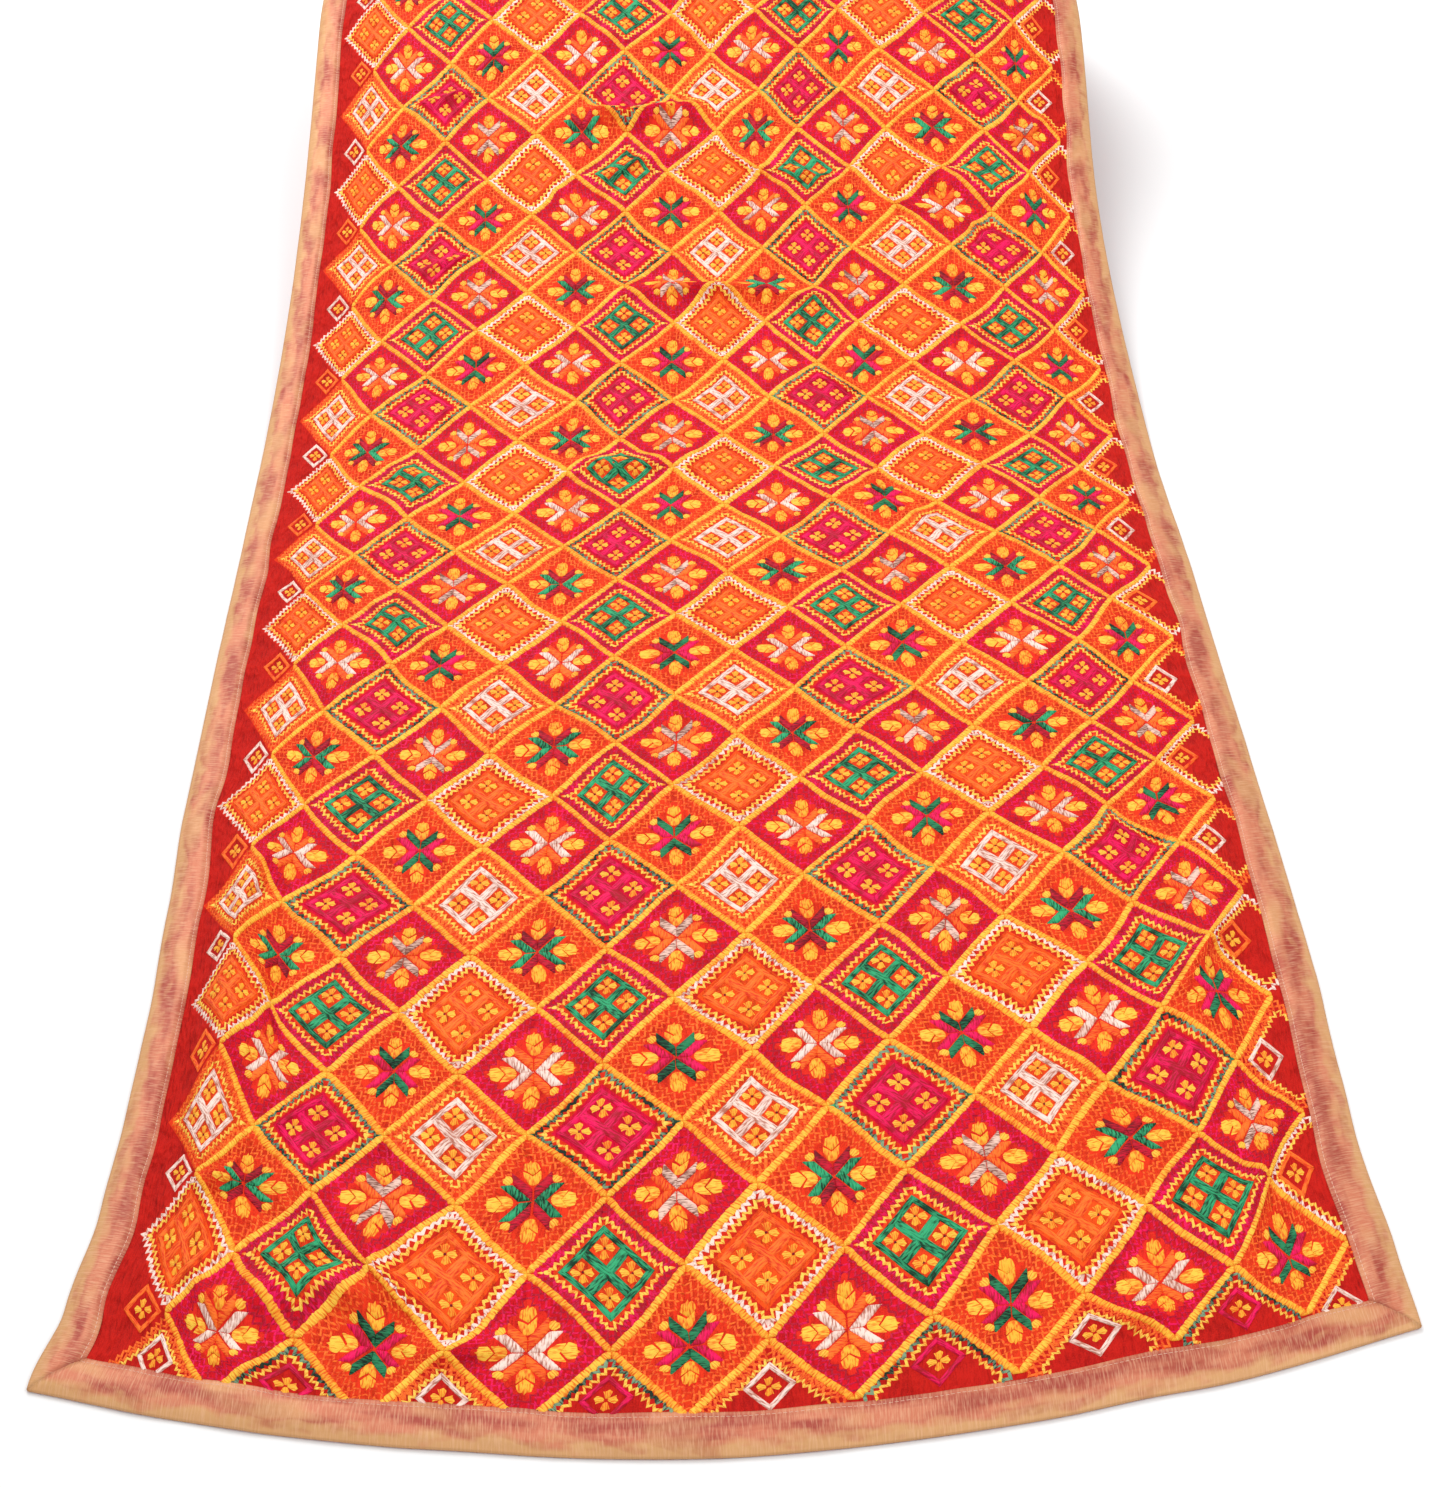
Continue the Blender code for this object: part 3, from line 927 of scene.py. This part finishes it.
def sew_blocks():
    """The frame-and-cross tiles in four colourings, with half tiles at the hems and the right edge."""
    whole = {kind: [] for kind in BLOCK_KINDS}
    near, far, right = [], [], []
    for level in range(-1, LEVELS):
        for column in range(0, TILE_COLUMNS + 1, 2):
            kind = kind_of_block(column, level)
            place = (column, level + 0.5)
            if column == TILE_COLUMNS:
                right.append((kind, place))
            elif level == -1:
                near.append((kind, place))
            elif level == LEVELS - 1:
                far.append((kind, place))
            else:
                whole[kind].append(place)
    for kind, places in whole.items():
        colour, tone = BLOCK_KINDS[kind][:2]
        half_tiles = [place for name, place in near + far + right if name == kind]
        sew_rings(kind, places + half_tiles)
        sew(colour, block_frame(), places, tone, 0.07, FRAME_SLIP)
        # Side petals in the lighter copy of the yellow floss and end petals in the deeper one: painted
        # sheen by thread direction.
        sew("yellow_lit", petals(BLOCK_FLOWERS, SIDE_WAYS, 0.0085, 0.0076), places, 0.92, 0.10)
        sew("yellow_shaded", petals(BLOCK_FLOWERS, END_WAYS, 0.0092, 0.0070), places, 0.86, 0.10)
        # Painted shade: a very dark maroon pad where each flower's petals meet.
        sew("maroon", shaded_middles(BLOCK_FLOWERS), places, 0.2, 0.1)
        sew("straw", corner_tips(SIDE_WAYS, 0.0385, 0.0470, 0.0052), places, 0.90, 0.10)
    sew("white", corner_tips(SIDE_WAYS + END_WAYS, 0.0465, 0.0535, 0.0056), whole["A"], 0.95, 0.10)
    sew("emerald", corner_tips(SIDE_WAYS, 0.0465, 0.0525, 0.0052), whole["C"], 0.75, 0.10)
    sew_small_squares(near, (0.0, HEM_ASIDE * HALF_TILE_ALONG))
    sew_small_squares(far, (0.0, -HEM_ASIDE * HALF_TILE_ALONG))
    sew_small_squares(right, (-SMALL_ASIDE * HALF_TILE_ACROSS, 0.0))
    notches = [("D" if level % 2 else "A", (0, level)) for level in range(LEVELS)]
    sew_small_squares(notches, (-SMALL_ASIDE * HALF_TILE_ACROSS, 0.0))


RIGHT, FAR, LEFT, NEAR = (1, 1), (-1, 1), (-1, -1), (1, -1)
# Each kind of star: its sideways arms, its near and far arms, and the zigzags on its ground
STAR_KINDS = {
    "S1": ("white", "orange", "magenta"),
    "S2": ("magenta", "bottle", "orange"),
    "S3": ("emerald", "maroon", "orange"),
    "S4": ("orange", "silver", "magenta"),
}
GROUND_TONES = {"magenta": 0.54, "orange": 0.70}
GROUND_RINGS = (0.90, 0.795, 0.690)
GROUND_RING_STEPS = 12
GROUND_THREAD_WIDTH = 0.0021
GROUND_THREAD_HEIGHT = 0.0004
# Where a star's buds start and end, and their width, sideways and endways
SIDE_BUD = (0.0120, 0.0335, 0.0150)
END_BUD = (0.0135, 0.0365, 0.0128)


def sew_stars():
    """The eight-armed stars, in four colourings."""
    kinds = {kind: [] for kind in STAR_KINDS}
    for column in range(1, TILE_COLUMNS, 2):
        for level in range(LEVELS):
            names = ("S1", "S3") if column % 4 == 1 else ("S2", "S4")
            kinds[names[level % 2]].append((column, level))
    for kind, (sideways, endways, ground) in STAR_KINDS.items():
        places = kinds[kind]
        for radius in GROUND_RINGS:
            steps = round(GROUND_RING_STEPS * radius)
            ring = zigzag_ring(radius, steps, SWING, GROUND_THREAD_WIDTH, GROUND_THREAD_HEIGHT)
            sew(ground, ring, places, GROUND_TONES[ground], 0.16, THREAD_SLIP)
        sew(sideways, arms((RIGHT, LEFT), 0), places, 0.80, 0.10)
        sew(endways, arms((FAR, NEAR), 90), places, 0.80, 0.10)
        for caps, tone in ((False, 0.80), (True, 0.98)):
            # Side buds in the lighter copy of the yellow floss and end buds in the deeper one: painted
            # sheen by thread direction.
            sew("yellow_lit", buds(SIDE_WAYS, *SIDE_BUD, caps), places, tone, 0.08)
            sew("yellow_shaded", buds(END_WAYS, *END_BUD, caps), places, tone, 0.08)
        sew("yellow_lit", tufts(), places, 0.92, 0.09)


TUCKED = 0.004


def kept_faces(stitches):
    """Drop what lies well under the ribbon or off the cloth."""
    across = np.concatenate(stitches.across)
    along = np.concatenate(stitches.along)
    faces = np.concatenate(stitches.faces)
    hidden = BORDER_WIDTH - TUCKED
    inside = np.abs(across) < HALF_WIDTH - hidden
    inside &= (along > hidden) & (along < CUT_LENGTH - hidden)
    faces = faces[inside[faces].all(1)]
    used, packed = np.unique(faces, return_inverse=True)
    return across[used], along[used], used, packed.reshape(-1, 4)


def bake_map(across, along):
    """A map of the whole cut, for textures."""
    return np.stack([(across + HALF_WIDTH) / CUT_WIDTH, along / CUT_LENGTH], -1)


def set_input(tree, socket, value):
    """Link a socket to another node's, or give it a value."""
    if isinstance(value, bpy.types.NodeSocket):
        tree.links.new(value, socket)
    elif isinstance(value, tuple) and len(value) < len(socket.default_value):
        socket.default_value = (*value, 1.0)
    else:
        socket.default_value = value


def add_node(tree, kind, **inputs):
    """A node with its inputs set by name."""
    made = tree.nodes.new(kind)
    for name, value in inputs.items():
        set_input(tree, made.inputs[name.replace("_", " ")], value)
    return made


def maths(tree, operation, *values):
    made = tree.nodes.new("ShaderNodeMath")
    made.operation = operation
    for index, value in enumerate(values):
        set_input(tree, made.inputs[index], value)
    return made.outputs[0]


def mixed(tree, share, first, second):
    """One colour turning into another by a share of 0 to 1."""
    made = tree.nodes.new("ShaderNodeMix")
    made.data_type = "RGBA"
    for index, value in ((0, share), (6, first), (7, second)):
        set_input(tree, made.inputs[index], value)
    return made.outputs[2]


def ranged(tree, value, low, high, start, end):
    """A value between low and high as one between start and end."""
    made = tree.nodes.new("ShaderNodeMapRange")
    for index, given in enumerate((value, low, high, start, end)):
        set_input(tree, made.inputs[index], given)
    return made.outputs[0]


def uv_map(tree, name):
    made = tree.nodes.new("ShaderNodeUVMap")
    made.uv_map = name
    return made.outputs[0]


def scaled(tree, vector, across, along):
    return add_node(tree, "ShaderNodeMapping", Vector=vector, Scale=(across, along, 1.0)).outputs[0]


def noise(tree, vector, scale, detail=2.0):
    return add_node(tree, "ShaderNodeTexNoise", Vector=vector, Scale=scale, Detail=detail).outputs[0]


def new_material(name):
    made = bpy.data.materials.new(name)
    made.use_nodes = True
    return made, made.node_tree, made.node_tree.nodes["Principled BSDF"]


def bumped(tree, shader, height, strength, distance):
    bump = add_node(tree, "ShaderNodeBump", Strength=strength, Distance=distance, Height=height)
    tree.links.new(bump.outputs[0], shader.inputs["Normal"])


def floss_material(name, shade, light, wander):
    """Glossy floss: tone by stitch, which also carries painted shade at the stitches' rims and in the
    bands' grooves, streaks along the thread and a colour that wanders over the cloth.
    """
    made, tree, shader = new_material("floss_" + name)
    thread = uv_map(tree, "thread")
    tone = tree.nodes.new("ShaderNodeAttribute")
    tone.attribute_name = "tone"
    streak = noise(tree, scaled(tree, thread, 140.0, 720.0), 1.0)
    area = noise(tree, scaled(tree, uv_map(tree, "OFBake"), CUT_WIDTH, CUT_LENGTH), 52.0)
    tone = maths(tree, "ADD", tone.outputs["Fac"], ranged(tree, streak, 0.36, 0.56, -0.75, 0.22))
    tone = maths(tree, "ADD", tone, ranged(tree, area, 0.34, 0.66, -wander, wander * 0.6))
    tone = add_node(tree, "ShaderNodeClamp", Value=tone).outputs[0]
    tree.links.new(mixed(tree, tone, shade, light), shader.inputs["Base Color"])
    shader.inputs["Roughness"].default_value = 0.55
    shader.inputs["Specular IOR Level"].default_value = 0.20
    bumped(tree, shader, streak, 0.9, 0.0010)
    return made


# Ground colours by tile: its place in the repeat of 16, between its rings, and in its panes
GROUND_COLOURS = (
    (1, srgb(220, 42, 18), srgb(246, 82, 20)),
    (3, srgb(234, 60, 20), srgb(240, 72, 20)),
    (4, srgb(222, 14, 34), srgb(236, 44, 28)),
    (6, srgb(232, 58, 20), srgb(238, 54, 22)),
    (9, srgb(222, 12, 38), srgb(238, 66, 20)),
    (11, srgb(226, 46, 20), srgb(220, 2, 54)),
    (12, srgb(232, 58, 20), srgb(238, 54, 22)),
    (14, srgb(222, 14, 34), srgb(236, 44, 28)),
)
MARGIN_COLOUR = srgb(200, 26, 16)
# Painted shade: the darker red mixed into the hollows of the ground's crinkles and puffs.
PAINTED_CRINKLE_SHADE = srgb(138, 4, 6)
REPEAT = 16
PANE_EDGE = 0.68


def tile_ramp(tree, factor, column):
    """A colour for each tile of the repeat."""
    made = add_node(tree, "ShaderNodeValToRGB", Fac=factor)
    ramp = made.color_ramp
    ramp.interpolation = "CONSTANT"
    for row in GROUND_COLOURS:
        element = ramp.elements.new((row[0] - 0.5) / REPEAT)
        element.color = (*row[column], 1.0)
    ramp.elements.remove(ramp.elements[-1])
    ramp.elements[0].color = (*GROUND_COLOURS[0][column], 1.0)
    return made.outputs[0]


def tile_colour(tree):
    """The ground's tint under the stitches, by tile, and plain red in the margins."""
    place = add_node(tree, "ShaderNodeSeparateXYZ", Vector=uv_map(tree, "lattice"))
    column, level = place.outputs[0], maths(tree, "MULTIPLY", place.outputs[1], 2.0)
    first = maths(tree, "MULTIPLY", maths(tree, "ADD", column, level), 0.5)
    second = maths(tree, "MULTIPLY", maths(tree, "SUBTRACT", column, level), 0.5)
    first_tile = maths(tree, "FLOOR", first)
    second_tile = maths(tree, "FLOOR", second)
    tile_column = maths(tree, "ADD", maths(tree, "ADD", first_tile, second_tile), 1.0)
    tile_level = maths(tree, "SUBTRACT", first_tile, second_tile)
    index = maths(tree, "MULTIPLY", maths(tree, "FLOORED_MODULO", tile_column, 4.0), 4.0)
    index = maths(tree, "ADD", index, maths(tree, "FLOORED_MODULO", tile_level, 4.0))
    factor = maths(tree, "DIVIDE", index, float(REPEAT))
    p = maths(tree, "ABSOLUTE", maths(tree, "SUBTRACT", maths(tree, "FRACT", first), 0.5))
    q = maths(tree, "ABSOLUTE", maths(tree, "SUBTRACT", maths(tree, "FRACT", second), 0.5))
    ring = maths(tree, "MULTIPLY", maths(tree, "MAXIMUM", p, q), 2.0)
    in_panes = maths(tree, "LESS_THAN", ring, PANE_EDGE)
    colour = mixed(tree, in_panes, tile_ramp(tree, factor, 1), tile_ramp(tree, factor, 2))
    outside = maths(tree, "LESS_THAN", tile_column, -0.5)
    for value, last in ((tile_column, TILE_COLUMNS - 0.5), (tile_level, 2 * LEVELS - 1.5)):
        outside = maths(tree, "MAXIMUM", outside, maths(tree, "GREATER_THAN", value, last))
    outside = maths(tree, "MAXIMUM", outside, maths(tree, "LESS_THAN", tile_level, -0.5))
    return mixed(tree, outside, colour, MARGIN_COLOUR)


def ground_material():
    """Crinkled georgette, its tint changing tile by tile under the stitches, with painted shade in the
    hollows of its crinkles and puffs.
    """
    made, tree, shader = new_material("crinkled_georgette")
    cut = uv_map(tree, "cut")
    crinkles = noise(tree, scaled(tree, cut, 420.0, 90.0), 1.0, 3.0)
    weave = noise(tree, cut, 900.0, 1.0)
    puffs = noise(tree, scaled(tree, cut, 64.0, 40.0), 1.0, 2.0)
    # Darker where the crinkles and puffs are low, from the same noise that makes their bump: painted shade,
    # with a finer fleck from the weave.
    dark = maths(tree, "MULTIPLY", maths(tree, "ADD", maths(tree, "ADD", crinkles, weave), puffs), 1 / 3)
    dark = ranged(tree, dark, 0.38, 0.54, 0.6, 0.0)
    tree.links.new(mixed(tree, dark, tile_colour(tree), PAINTED_CRINKLE_SHADE), shader.inputs["Base Color"])
    shader.inputs["Roughness"].default_value = 0.8
    shader.inputs["Specular IOR Level"].default_value = 0.15
    height = maths(tree, "ADD", crinkles, maths(tree, "MULTIPLY", puffs, 6.0))
    bumped(tree, shader, height, 0.9, 0.0022)
    return made


def ribbon_material():
    """Shot tissue ribbon: copper pink with pale golden patches, ribbed across, and a painted highlight
    along its paler outer edge.
    """
    made, tree, shader = new_material("shot_tissue")
    ribbon = uv_map(tree, "ribbon")
    cut = uv_map(tree, "cut")
    place = add_node(tree, "ShaderNodeSeparateXYZ", Vector=ribbon)
    wander = noise(tree, scaled(tree, ribbon, 90.0, 34.0), 1.0)
    ragged = maths(tree, "ADD", place.outputs[0], ranged(tree, wander, 0.3, 0.7, -0.006, 0.006))
    # Painted highlight: a pale golden band along the outer edge, where the ribbon rolls over and would
    # catch the light.
    outer = ranged(tree, ragged, 0.003, 0.012, 0.85, 0.0)
    patch = ranged(tree, noise(tree, scaled(tree, ribbon, 30.0, 13.0), 1.0), 0.52, 0.66, 0.0, 0.6)
    dusky = ranged(tree, noise(tree, scaled(tree, ribbon, 64.0, 14.0), 1.0, 3.0), 0.40, 0.60, 0.0, 1.0)
    rib = noise(tree, scaled(tree, ribbon, 90.0, 800.0), 1.0)
    colour = mixed(tree, dusky, srgb(204, 120, 88), srgb(164, 66, 50))
    colour = mixed(tree, maths(tree, "MAXIMUM", outer, patch), colour, srgb(212, 162, 106))
    fleck = ranged(tree, rib, 0.44, 0.70, 0.0, 0.45)
    tree.links.new(mixed(tree, fleck, colour, srgb(230, 178, 140)), shader.inputs["Base Color"])
    shader.inputs["Metallic"].default_value = 0.15
    shader.inputs["Roughness"].default_value = 0.50
    shader.inputs["Specular IOR Level"].default_value = 0.35
    bumped(tree, shader, rib, 0.5, 0.0007)
    return made


def ground_piece():
    """The ground cloth: a closed thin shell."""
    rows, columns = GRID_ACROSS.shape
    layer = rows * columns
    top = GRID_POINTS + GRID_NORMALS * GROUND_TOP
    points = np.concatenate([GRID_POINTS.reshape(-1, 3), top.reshape(-1, 3)])
    index = np.arange(layer).reshape(rows, columns)
    a, b, c, d = quads(index).T
    upper = np.concatenate([np.stack([a, b, c], -1), np.stack([a, c, d], -1)]) + layer
    lower = np.concatenate([np.stack([a, c, b], -1), np.stack([a, d, c], -1)])
    rim = np.concatenate([index[0, :-1], index[:-1, -1], index[-1, :0:-1], index[:0:-1, 0]])
    after = np.roll(rim, -1)
    walls = np.concatenate([
        np.stack([rim, after, after + layer], -1), np.stack([rim, after + layer, rim + layer], -1)])
    across, along = GRID_ACROSS.ravel(), GRID_ALONG.ravel()
    cut = np.stack([across, along], -1)
    lattice = np.stack(chart_of(across, along), -1)
    half = bake_map(across, along) * (0.49, 1.0)
    maps = (
        ("OFBake", np.concatenate([half + (0.51, 0.0), half])),
        ("cut", np.concatenate([cut, cut])),
        ("lattice", np.concatenate([lattice, lattice])),
    )
    made = new_object("ground", points, np.concatenate([upper, lower, walls]), ground_material(), maps)
    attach(made, "root")
    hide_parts("ground_cloth")
    return made


RIBBON_PROUD = 0.0006
RIBBON_STATIONS = 1.25
RIBBON_SIDES = np.array([0.0, 0.03, 0.12, 0.3, 0.5, 0.7, 0.82, 0.88, 0.94, 0.98, 1.0])
SEAM_SIDE = 0.88
SEAM_DIP = 0.0009


def ribbon_top(sides, across, along):
    """Height of a ribbon's top: puffed, pinched along its line of stitching and rounded at its edges."""
    puff = 1 - np.abs(2 * sides - 1) ** 3
    swell = RIBBON_CROWN * puff * (1 + 0.22 * ripple(across, along, 0.028, SEED + 5))
    seam = SEAM_DIP * hump(sides - SEAM_SIDE, 0.06)
    edge = np.minimum(1, 8 * np.minimum(sides + 0.03, 1.03 - sides))
    return RIBBON_LOW + (0.0008 + swell - seam) * edge


def ribbon_piece(name, node, outer, inner, runs_along, finish):
    """One ribbon: a closed strip, a little puffed, mitred at both ends."""
    stations = round(RIBBON_STATIONS * (CELLS_ALONG if runs_along else CELLS_ACROSS))
    share = np.linspace(0, 1, stations + 1)[:, None]
    sides = RIBBON_SIDES[None]
    aside = np.broadcast_to(outer + sides * (inner - outer), (stations + 1, len(RIBBON_SIDES)))
    low_end = sides * BORDER_WIDTH
    if runs_along:
        run = low_end + share * (CUT_LENGTH - 2 * low_end)
        across, along = aside, run
    else:
        run = -HALF_WIDTH + low_end + share * (CUT_WIDTH - 2 * low_end)
        across, along = run, aside
    top = ribbon_top(sides, across, along)
    low = np.where(sides < 0.01, 0.0, RIBBON_LOW) + 0 * run
    proud = np.sign(outer - inner) * RIBBON_PROUD * (sides < 0.01)
    if runs_along:
        across = across + proud
    else:
        along = along + proud
    section = np.concatenate([on_cloth(across, along, top), on_cloth(across, along, low)[:, ::-1]], 1)
    size = section.shape[1]
    rows = stations + 1
    index = np.arange(rows * size).reshape(rows, size)
    nexts = np.roll(index, -1, 1)
    faces = np.stack([index[:-1], nexts[:-1], nexts[1:], index[1:]], -1).reshape(-1, 4)
    caps = []
    for k in range(len(RIBBON_SIDES) - 1):
        caps.append((index[0, k], index[0, size - 1 - k], index[0, size - 2 - k], index[0, k + 1]))
        caps.append((index[-1, k], index[-1, k + 1], index[-1, size - 2 - k], index[-1, size - 1 - k]))
    faces = np.concatenate([faces, np.array(caps)])
    if (outer > inner) == runs_along:
        faces = faces[:, ::-1]
    cut_across = np.concatenate([across, across[:, ::-1]], 1).ravel()
    cut_along = np.concatenate([along, along[:, ::-1]], 1).ravel()
    reach = np.concatenate([sides, sides[:, ::-1]], 1) * BORDER_WIDTH + np.zeros((rows, 1))
    ribbon = np.stack([reach.ravel(), np.concatenate([run, run[:, ::-1]], 1).ravel()], -1)
    maps = (
        ("OFBake", bake_map(cut_across, cut_along)),
        ("cut", np.stack([cut_across, cut_along], -1)),
        ("ribbon", ribbon),
    )
    made = new_object(name, section.reshape(-1, 3), faces, finish, maps)
    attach(made, "root")
    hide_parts(node)
    return made


def ribbon_pieces():
    finish = ribbon_material()
    inside = HALF_WIDTH - BORDER_WIDTH
    return [
        ribbon_piece("ribbon_near", "border_near", 0.0, BORDER_WIDTH, False, finish),
        ribbon_piece("ribbon_far", "border_far", CUT_LENGTH, CUT_LENGTH - BORDER_WIDTH, False, finish),
        ribbon_piece("ribbon_left", "border_left", -HALF_WIDTH, -inside, True, finish),
        ribbon_piece("ribbon_right", "border_right", HALF_WIDTH, inside, True, finish),
    ]


SEAM_STITCH = 0.0030
SEAM_PITCH = 0.0038
SEAM_THREAD = 0.0007
SEAM_RISE = 0.0006
SEAM_SUNK = 0.0001
SEAM_COLOUR = srgb(236, 190, 166)
# A stitch's rows lengthwise and its points crosswise, as shares of its length and width, and what rises
STITCH_ROWS = (-0.5, -0.2, 0.2, 0.5)
STITCH_SIDES = (-0.5, 0.0, 0.5)
STITCH_RISE = ((0, 0, 0), (0, 1, 0), (0, 1, 0), (0, 0, 0))


def ribbon_stitching():
    """The line of small pale stitches that holds the ribbons' inner edges."""
    middles, ways = [], []
    seam = BORDER_WIDTH * SEAM_SIDE
    wide, long = HALF_WIDTH - seam, CUT_LENGTH - 2 * seam
    for side in (-1, 1):
        at = np.arange(seam + SEAM_PITCH, CUT_LENGTH - seam, SEAM_PITCH)
        middles.append(np.stack([np.full(len(at), side * wide), at], -1))
        ways.append(np.broadcast_to((0.0, 1.0), (len(at), 2)))
        at = np.arange(-wide + SEAM_PITCH, wide, SEAM_PITCH)
        middles.append(np.stack([at, np.full(len(at), CUT_LENGTH / 2 + side * long / 2)], -1))
        ways.append(np.broadcast_to((1.0, 0.0), (len(at), 2)))
    middles, ways = np.concatenate(middles)[:, None], np.concatenate(ways)[:, None]
    out = ways[..., ::-1]
    rows, sides = len(STITCH_ROWS), len(STITCH_SIDES)
    lengthwise = np.repeat(STITCH_ROWS, sides)[None, :, None] * SEAM_STITCH
    crosswise = np.tile(STITCH_SIDES, rows)[None, :, None] * SEAM_THREAD
    at = middles + ways * lengthwise + out * crosswise
    rise = np.ravel(STITCH_RISE) * SEAM_RISE
    top = ribbon_top(np.array(SEAM_SIDE), at[..., 0], at[..., 1]) - SEAM_SUNK
    points = on_cloth(at[..., 0], at[..., 1], top + rise)
    faces = quads(np.arange(rows * sides).reshape(rows, sides))
    faces = faces[None] + (np.arange(len(at)) * rows * sides)[:, None, None]
    faces = np.where(ways[:, :, :1] > 0.5, faces[..., ::-1], faces).reshape(-1, 4)
    finish, _, shader = new_material("seam_thread")
    shader.inputs["Base Color"].default_value = (*SEAM_COLOUR, 1.0)
    shader.inputs["Roughness"].default_value = 0.6
    maps = (("OFBake", bake_map(at[..., 0].ravel(), at[..., 1].ravel())),)
    made = new_object("ribbon_stitching", points.reshape(-1, 3), faces, finish, maps)
    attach(made, "root")
    return [made]


def floss_pieces():
    """All stitches, as one piece for each floss colour."""
    pieces = []
    for name, (shade, light, wander) in FLOSS.items():
        stitches = STITCHES[name]
        across, along, used, faces = kept_faces(stitches)
        height = np.concatenate(stitches.height)[used]
        maps = (
            ("OFBake", bake_map(across, along)),
            ("thread", np.concatenate(stitches.thread)[used]),
        )
        values = (("tone", np.concatenate(stitches.tone)[used]),)
        finish = floss_material(name, shade, light, wander)
        made = new_object("stitches_" + name, on_cloth(across, along, height), faces, finish, maps, values)
        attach(made, "root")
        pieces.append(made)
    return pieces


CAMERA_FORWARD = 0.7925
CAMERA_ASIDE = -0.0033
CAMERA_HEIGHT = 1.31
CAMERA_PITCH = 41.2
FOCAL_PIXELS = 2250.0
PHOTO_HEIGHT = 1488.0
SENSOR = 36.0
HEM_COLUMN = -0.0695


def camera():
    hem = laid(np.array([HEM_COLUMN]), np.array([0.0]))[0]
    low, high = (np.array(corner) for corner in CAD_BOX)
    shift = (low[:2] + high[:2]) / 2 - MIDDLE
    data = bpy.data.cameras.new("camera")
    data.sensor_width = SENSOR
    data.sensor_fit = "AUTO"
    data.lens = FOCAL_PIXELS / PHOTO_HEIGHT * SENSOR
    made = bpy.data.objects.new("camera", data)
    made.location = (CAMERA_ASIDE + shift[0], hem[1] + shift[1] - CAMERA_FORWARD, CAMERA_HEIGHT)
    made.rotation_euler = (math.radians(90 - CAMERA_PITCH), 0, 0)
    bpy.context.scene.collection.objects.link(made)
    bpy.context.scene.camera = made


FLOOR_HALF = 6.0
FLOOR_DROP = 0.0005
FLOOR_TONE = 0.90
ROOM_LIGHT = 0.72
# The lights: name, place and power. Each is turned to the middle of the shawl.
LIGHTS = (
    ("key", (-1.0, 1.5, 2.7), 60),
    ("fill", (1.6, -1.2, 2.6), 26),
)
LIGHT_SIZE = 2.0


def area_light(name, place, power):
    """A round soft light turned to the origin."""
    data = bpy.data.lights.new(name, "AREA")
    data.shape = "DISK"
    data.size = LIGHT_SIZE
    data.energy = power
    made = bpy.data.objects.new(name, data)
    made.location = place
    made.rotation_euler = (-Vector(place)).to_track_quat("-Z", "Y").to_euler()
    bpy.context.scene.collection.objects.link(made)


def studio():
    """A pale floor, a bright even room and two soft lights."""
    mesh = bpy.data.meshes.new("floor")
    corners = [(across * FLOOR_HALF, along * FLOOR_HALF, 0) for across, along in CORNERS]
    mesh.from_pydata(corners, [], [(0, 1, 2, 3)])
    floor = bpy.data.objects.new("floor", mesh)
    floor.location.z = -FLOOR_DROP
    finish, _, shader = new_material("floor")
    shader.inputs["Base Color"].default_value = (FLOOR_TONE, FLOOR_TONE, FLOOR_TONE, 1.0)
    shader.inputs["Roughness"].default_value = 0.9
    mesh.materials.append(finish)
    bpy.context.scene.collection.objects.link(floor)
    world = bpy.data.worlds.new("room")
    world.use_nodes = True
    world.node_tree.nodes["Background"].inputs[0].default_value = (1.0, 1.0, 1.0, 1.0)
    world.node_tree.nodes["Background"].inputs[1].default_value = ROOM_LIGHT
    bpy.context.scene.world = world
    for row in LIGHTS:
        area_light(*row)
    bpy.context.scene.view_settings.view_transform = "Standard"


def main():
    camera()
    studio()
    sew_lattice()
    sew_blocks()
    sew_stars()
    ground = ground_piece()
    trims = ribbon_pieces() + ribbon_stitching() + floss_pieces()


main()
